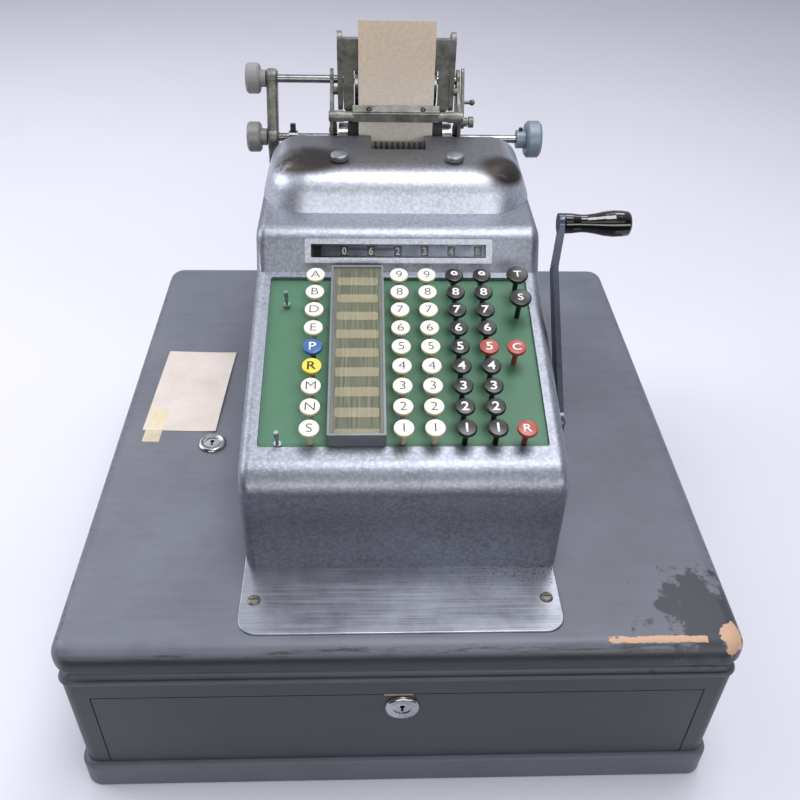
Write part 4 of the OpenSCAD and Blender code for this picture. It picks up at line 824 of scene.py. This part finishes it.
# Wear plate. Steel sheet 1.2 mm thick with rolled-over upper edges, screwed to the lid, pitted with dark rust
# specks near the machine's foot and round the right screw. It is brushed from side to side, in lines drawn
# coarser than they are so that they show.
brushed, tree, shader, place = finish("brushed_steel_sheet", Metallic=1.0, Anisotropic=0.4)
lines = add(tree, "Mapping", {"Vector": place, "Scale": (0.02, 1.0, 1.0)})
lines = add(tree, "TexNoise", {"Vector": lines, "Scale": 1 / (0.9091 * mm), "Detail": 5.0})
cloud = add(tree, "TexNoise", {"Vector": place, "Scale": 1 / (35.71 * mm), "Detail": 6.0, "Roughness": 0.65})
sheen = add(tree, "MapRange", {"Value": cloud, "From Min": 0.3, "From Max": 0.7})
steel = add(tree, "Mix", {0: sheen, 6: "#787a83", 7: "#a3a6b0"}, data_type="RGBA", out=2)
shine = add(tree, "MapRange", {"Value": lines, "From Min": 0.4, "From Max": 0.7, "To Max": 0.4})
steel = add(tree, "Mix", {0: shine, 6: steel, 7: "#b5b8c2"}, data_type="RGBA", out=2)
specks = add(tree, "TexNoise", {"Vector": place, "Scale": 1 / (1.923 * mm), "Detail": 5.0, "Roughness": 0.75})
high = add(tree, "SeparateXYZ", {0: place}, out=None)
back = add(tree, "MapRange", {"Value": high["Y"], "From Min": -196 * mm, "From Max": -160 * mm, "To Min": 0.0,
                              "To Max": 0.12})
right = add(tree, "MapRange", {"Value": high["X"], "From Min": -20 * mm, "From Max": 90 * mm, "To Min": 0.0,
                               "To Max": 0.07})
crowd = add(tree, "Math", {0: back, 1: right}, operation="ADD")
crowd = add(tree, "Math", {0: crowd, 1: specks}, operation="ADD")
rust = add(tree, "MapRange", {"Value": crowd, "From Min": 0.72, "From Max": 0.78})
feed(shader, "Base Color", add(tree, "Mix", {0: rust, 6: steel, 7: "#3b3630"}, data_type="RGBA", out=2))
rough = add(tree, "MapRange", {"Value": lines, "To Min": 0.26, "To Max": 0.46})
rough = add(tree, "Math", {0: rough, 1: rust}, operation="MAXIMUM")
feed(shader, "Roughness", rough)
bump = add(tree, "Bump", {"Height": lines, "Strength": 0.2, "Distance": 0.06 * mm})
feed(shader, "Normal", bump)
feed(shader, "Tangent", add(tree, "CombineXYZ", {"Y": 1.0}))
cab_h, plate_w, plate_d, plate_t, plate_y = 143 * mm, 201 * mm, 91.6 * mm, 1.2 * mm, -165.8 * mm
sheet = slab(rounded_plan(plate_w, plate_d, 12 * mm), cab_h, cab_h + plate_t,
             Matrix.Translation((0, plate_y, 0)))
rim = [e for e in sheet.edges if min(v.co.z for v in e.verts) > cab_h + plate_t / 2]
bmesh.ops.bevel(sheet, geom=rim, offset=0.8 * mm, offset_type="OFFSET", segments=4, profile=0.6,
                affect="EDGES")
hole_r, hole_x, hole_y = 2.1 * mm, 91.75 * mm, -186 * mm
holes = [meshed(slab(ring(hole_r), cab_h - 3 * mm, cab_h + 3 * mm, Matrix.Translation((x, hole_y, 0))),
                "hole") for x in (-hole_x, hole_x)]
piece("wear_plate_sheet", even(smooth(tooled(meshed(sheet, "sheet"), holes), 60)), "cabinet", brushed,
      replaces=("wear_plate",), slot="steel_plate")


# Note slip. A bare slip of cream card, stained and lifted a little along its right edge, held on the left by
# a piece of clear tape.
slip_paper, tree, shader, place = finish("cream_card_slip", Roughness=0.8)
cloud = add(tree, "TexNoise", {"Vector": place, "Scale": 1 / (25 * mm), "Detail": 6.0, "Roughness": 0.6})
stain = add(tree, "MapRange", {"Value": cloud, "From Min": 0.35, "From Max": 0.7})
base = add(tree, "Mix", {0: stain, 6: "#ddd3d0", 7: "#cfc3b9"}, data_type="RGBA", out=2)
pulp = add(tree, "TexNoise", {"Vector": place, "Scale": 1 / (1.429 * mm), "Detail": 3.0})
pulp = add(tree, "MapRange", {"Value": pulp, "From Min": 0.4, "From Max": 0.8, "To Max": 0.3})
feed(shader, "Base Color", add(tree, "Mix", {0: pulp, 6: base, 7: "#cfc2b6"}, data_type="RGBA", out=2))
tape_film, tree, shader, place = finish("yellowed_clear_tape", Roughness=0.2, IOR=1.5)
cloud = add(tree, "TexNoise", {"Vector": place, "Scale": 1 / (6.667 * mm), "Detail": 3.0})
feed(shader, "Base Color", add(tree, "Mix", {0: cloud, 6: "#f1e3bd", 7: "#fff4d2"}, data_type="RGBA", out=2))
film = add(tree, "MapRange", {"Value": cloud, "To Min": 0.28, "To Max": 0.5})
feed(shader, "Alpha", film)


def sheet_of(corners, lift, thick, across=16, along=24):
    """A thin sheet between four (x, y) corners in order; lift(u, v) gives its height over the lid."""
    work = bmesh.new()
    corners = [Vector(c) * mm for c in corners]
    layers = []
    for layer in (0, thick):
        rows_made = []
        for j in range(along + 1):
            row = []
            for i in range(across + 1):
                u, v = i / across, j / along
                at = corners[0].lerp(corners[1], u).lerp(corners[3].lerp(corners[2], u), v)
                row.append(work.verts.new((at.x, at.y, cab_h + lift(u, v) * mm + layer)))
            rows_made.append(row)
        layers.append(rows_made)
    low, high = layers
    for j in range(along):
        for i in range(across):
            work.faces.new((high[j][i], high[j][i + 1], high[j + 1][i + 1], high[j + 1][i]))
            work.faces.new((low[j][i], low[j + 1][i], low[j + 1][i + 1], low[j][i + 1]))
    rim = ([(0, i) for i in range(across)] + [(j, across) for j in range(along)]
           + [(along, i) for i in range(across, 0, -1)] + [(j, 0) for j in range(along, 0, -1)])
    for k, (j, i) in enumerate(rim):
        m, n = rim[(k + 1) % len(rim)]
        work.faces.new((low[j][i], low[m][n], high[m][n], high[j][i]))
    bmesh.ops.recalc_face_normals(work, faces=work.faces)
    return smooth(meshed(work, "sheet"), 50)


def slip_lift(u, v):
    """Flat on the left, lifted up to 1.6 mm along the right edge, most near its middle."""
    curl = 1.6 * u ** 6 * (0.45 + 0.55 * math.sin(math.pi * min(1, v * 1.1)))
    return 0.15 + curl + 0.25 * math.sin(7 * v) ** 2 * u


def tape_lift(u, v):
    """Down on the lid at its front end, then up over the slip."""
    return 0.08 + 0.34 * min(1, max(0, v * 6 - 1.6))


slip_corners = [(-192.2, -21.7), (-136.4, -24.2), (-131.9, 78.2), (-188.6, 81.0)]
tape_corners = [(-190.4, -35.0), (-177.6, -35.4), (-175.6, 3.2), (-188.6, 4.0)]
piece("note_slip", sheet_of(slip_corners, slip_lift, 0.2 * mm), "cabinet", slip_paper, slot="paper_cream")
piece("note_tape_left", sheet_of(tape_corners, tape_lift, 0.06 * mm), "cabinet", tape_film, slot="pane")


# Small fasteners of the carriage. Two slotted screws in the bar's tear plate, a square-headed screw in the
# shaft's collar and one in the disc knob's hub, of steel gone dark; bright type slugs on the type bars.
dark_steel, tree, shader, place = finish("oil_blackened_steel", Metallic=0.9)
cloud = add(tree, "TexNoise", {"Vector": place, "Scale": 1 / (3.333 * mm), "Detail": 5.0})
feed(shader, "Base Color", add(tree, "Mix", {0: cloud, 6: "#3a3936", 7: "#5f5d58"}, data_type="RGBA", out=2))
rough = add(tree, "MapRange", {"Value": cloud, "To Min": 0.3, "To Max": 0.55})
feed(shader, "Roughness", rough)
bar_at, bar_tilt = (283.9 * mm, 194.5 * mm), math.atan2(3.4, 6.4)
head_profile = ((0, -0.6), (2.1, -0.6), (2.2, 0.2), (1.9, 0.9), (1.2, 1.3), (0, 1.45))
head = turned([(x * mm, z * mm) for x, z in head_profile], 32)
slot_cut = slab(oblong(-3 * mm, -0.3 * mm, 3 * mm, 0.3 * mm), 0.75 * mm, 3 * mm)
head = tooled(smooth(meshed(head, "head"), 40), [meshed(slot_cut, "slot")])
heads = []
for x, spin in ((-20.6 * mm, 25), (20.6 * mm, 70)):
    turn_in = Matrix.Rotation(bar_tilt, 4, "X") @ Matrix.Rotation(math.radians(spin), 4, "Z")
    heads.append((head, machine @ Matrix.Translation((x, *bar_at)) @ turn_in))
piece("bar_screws", joined(heads, "heads"), "bar", dark_steel, slot="dark_steel")


def square_screw(at, side, tall):
    """A square-headed set screw standing on a collar, with its edges broken."""
    work = slab(oblong(-side / 2, -side / 2, side / 2, side / 2), 0, tall, machine @ Matrix.Translation(at))
    bmesh.ops.bevel(work, geom=work.edges[:], offset=0.35 * mm, segments=2, affect="EDGES")
    return meshed(work, "screw")


set_screws = [(square_screw((-80.5 * mm, 303 * mm, 168.5 * mm), 4.2 * mm, 6.5 * mm), Matrix()),
              (square_screw((100.6 * mm, 303 * mm, 171.0 * mm), 3.0 * mm, 2.6 * mm), Matrix())]
piece("shaft_set_screws", joined(set_screws, "screws"), "roller", dark_steel, slot="dark_steel")
slug_steel = plated_steel("worn_type_steel", "#d2d2cc", "#8f8f8a", 0.35, (1.0, 1.0, 1.0))
slug = slab(oblong(-0.8 * mm, -0.35 * mm, 0.8 * mm, 0.1 * mm), -2.6 * mm, 0)
bmesh.ops.bevel(slug, geom=slug.edges[:], offset=0.12 * mm, segments=2, affect="EDGES")
type_pitch, type_middle_x = 4.3 * mm, 1.75 * mm
slug_row = repeated(meshed(slug, "slug"), rows, Count=9, Step=(type_pitch, 0, 0), Finish=slug_steel)
slug_row.transform(machine @ Matrix.Translation((type_middle_x - 4 * type_pitch, 275 * mm, 169.6 * mm)))
piece("type_slugs", slug_row, "type", slug_steel, slot="bright_metal")


# Carriage metal. Cast and pressed parts whose nickel plating has gone a dull grey-brown, blackened type bars
# and base plate, and turning knobs of cast metal, left bare and grey on the left, painted on the right.
dull, tree, shader, place = finish("dulled_nickel_plate", Metallic=0.75, Roughness=0.5)
cloud = add(tree, "TexNoise", {"Vector": place, "Scale": 1 / (11.11 * mm), "Detail": 8.0, "Roughness": 0.75})
cloud = add(tree, "MapRange", {"Value": cloud, "From Min": 0.35, "From Max": 0.65})
feed(shader, "Base Color", add(tree, "Mix", {0: cloud, 6: "#5c5c57", 7: "#94948f"}, data_type="RGBA", out=2))
pits = add(tree, "TexNoise", {"Vector": place, "Scale": 1 / (1.667 * mm), "Detail": 4.0})
feed(shader, "Normal", add(tree, "Bump", {"Height": pits, "Strength": 0.3, "Distance": 0.15 * mm}))
blackened = mottled("blackened_steel", "#1d1d1f", "#35353a", 5, 5.0, Metallic=0.6, Roughness=0.42)
knob_paint, tree, shader, place = finish("grey_enamel_knobs", Metallic=0.2, Roughness=0.45)
cloud = add(tree, "TexNoise", {"Vector": place, "Scale": 1 / (7.692 * mm), "Detail": 6.0, "Roughness": 0.7})
left = add(tree, "Math", {0: add(tree, "SeparateXYZ", {0: place}, out="X"), 1: 0.0}, operation="LESS_THAN")
cast_grey = add(tree, "Mix", {0: cloud, 6: "#67676a", 7: "#949492"}, data_type="RGBA", out=2)
blue_grey = add(tree, "Mix", {0: cloud, 6: "#6a7783", 7: "#8e9cab"}, data_type="RGBA", out=2)
feed(shader, "Base Color", add(tree, "Mix", {0: left, 6: blue_grey, 7: cast_grey}, data_type="RGBA", out=2))
dress(dull, "carriage_frame", "roll_cradle", "paper_guide", "paper_bar", "release_lever")
dress(blackened, "type_bars", "base_plate", "wheel_shaft")
dress(knob_paint, "platen_knobs")


# Side arm. One thick grey iron casting that carries the left ends of both shafts: an upright bar with a round
# boss at each shaft and a foot on the housing's shelf, its edges left fat and round by the sand mould.
arm_x, arm_t, boss_r, half_web, shaft_bore_r = -101 * mm, 9 * mm, 7.5 * mm, 6 * mm, 3.16 * mm
platen_at, roll_at = (303 * mm, 164.3 * mm), (323 * mm, 203.7 * mm)
along_x = machine @ Matrix(((0, 0, 1, 0), (1, 0, 0, 0), (0, 1, 0, 0), (0, 0, 0, 1)))


def cast_block(plan, low, high, radius):
    """A block along x over a plan of (y, z) points, with the edges round its two ends rounded."""
    work = slab(plan, low, high, along_x)
    ends = [e for e in work.edges if abs(e.verts[0].co.x - e.verts[1].co.x) < 1e-6]
    bmesh.ops.bevel(work, geom=ends, offset=radius, offset_type="OFFSET", segments=5, profile=0.5,
                    affect="EDGES")
    return meshed(work, "casting")


blocks = [cast_block(ring(boss_r, at), arm_x, arm_x + arm_t, 2.6 * mm) for at in (platen_at, roll_at)]
web = [(platen_at[0] - half_web, platen_at[1] + 2 * mm), (platen_at[0] + half_web, platen_at[1] - 3 * mm),
       (roll_at[0] + half_web, roll_at[1] - 3 * mm), (roll_at[0] - half_web, roll_at[1] + 3 * mm)]
blocks.append(cast_block(web, arm_x + 0.3 * mm, arm_x + arm_t - 0.3 * mm, 2.6 * mm))
leg = oblong(platen_at[0] - half_web, shelf_z, platen_at[0] + half_web, platen_at[1])
blocks.append(cast_block(leg, arm_x + 0.5 * mm, arm_x + arm_t - 0.5 * mm, 1.6 * mm))
foot_plan = oblong(arm_x + 1 * mm, platen_at[0] - 12 * mm, arm_x + 19 * mm, platen_at[0] + 12 * mm)
foot = slab(foot_plan, shelf_z, shelf_z + 3 * mm, machine)
bmesh.ops.bevel(foot, geom=foot.edges[:], offset=0.8 * mm, segments=3, affect="EDGES")
bores = [meshed(slab(ring(shaft_bore_r, at), -200 * mm, 0, along_x), "bore") for at in (platen_at, roll_at)]
casting = tooled(tooled(blocks[0], blocks[1:] + [meshed(foot, "foot")], "UNION"), bores)
piece("side_arm_casting", even(smooth(casting)), "cabinet", dull, replaces=("side_arm",), slot="dark_steel")


# Platen and paper. A roller of ground black rubber on its shaft, and a roll of cream paper tape, led round
# the platen and up, darker and tanner towards its free end: painted shade.
rubber = mottled("ground_black_rubber", "#151515", "#2b2b2a", 5.556, 6.0, Roughness=0.75)
tape, tree, shader, place = finish("paper_tape_painted_shade", Roughness=0.85)
pulp = add(tree, "TexNoise", {"Vector": place, "Scale": 1 / (2.381 * mm), "Detail": 6.0, "Roughness": 0.8})
pulp = add(tree, "MapRange", {"Value": pulp, "From Min": 0.35, "From Max": 0.65, "To Max": 0.3})
# The tape is near white low down and darker, tanner, higher up: painted shade.
high = add(tree, "SeparateXYZ", {0: place}, out="Z")
high = add(tree, "MapRange", {"Value": high, "From Min": 330 * mm, "From Max": 385 * mm},
           interpolation_type="SMOOTHSTEP")
shaded_towards_top = add(tree, "Mix", {0: high, 6: "#f2ebe2", 7: "#e9d7c2"}, data_type="RGBA", out=2)
feed(shader, "Base Color", add(tree, "Mix", {0: pulp, 6: shaded_towards_top, 7: "#9f8a74"}, data_type="RGBA", out=2))
dress(rubber, "platen")
dress(tape, "paper_roll", "paper_sheet")


# Crank. A flat bar of steel enamelled black, with its edges rubbed bright, and a turned hardwood grip,
# lacquered black, that turns on its pin.
crank_paint, tree, shader, place = finish("black_enamelled_bar", Metallic=0.3, Roughness=0.3)
cloud = add(tree, "TexNoise", {"Vector": place, "Scale": 1 / (8.333 * mm), "Detail": 6.0})
enamel_black = add(tree, "Mix", {0: cloud, 6: "#17181a", 7: "#2c2e33"}, data_type="RGBA", out=2)
side = add(tree, "SeparateXYZ", {0: add(tree, "NewGeometry", out="True Normal")}, out="X")
side = add(tree, "Math", {0: side}, operation="ABSOLUTE")
side = add(tree, "Math", {0: side, 1: 0.7}, operation="LESS_THAN")
chips = add(tree, "TexNoise", {"Vector": place, "Scale": 1 / (3.03 * mm), "Detail": 5.0, "Roughness": 0.7})
chips = add(tree, "MapRange", {"Value": chips, "From Min": 0.36, "From Max": 0.46})
worn = add(tree, "Math", {0: side, 1: chips}, operation="MULTIPLY")
bar_colour = add(tree, "Mix", {0: worn, 6: enamel_black, 7: "#525764"}, data_type="RGBA", out=2)
feed(shader, "Base Color", bar_colour)
feed(shader, "Metallic", add(tree, "Math", {0: worn, 1: 0.3}, operation="MAXIMUM"))
lacquer = mottled("black_lacquered_wood", "#060607", "#101012", 11.11, 4.0, Roughness=0.14, Coat_Weight=0.6)
dress(crank_paint, "crank_arm")
dress(lacquer, "crank_handle")
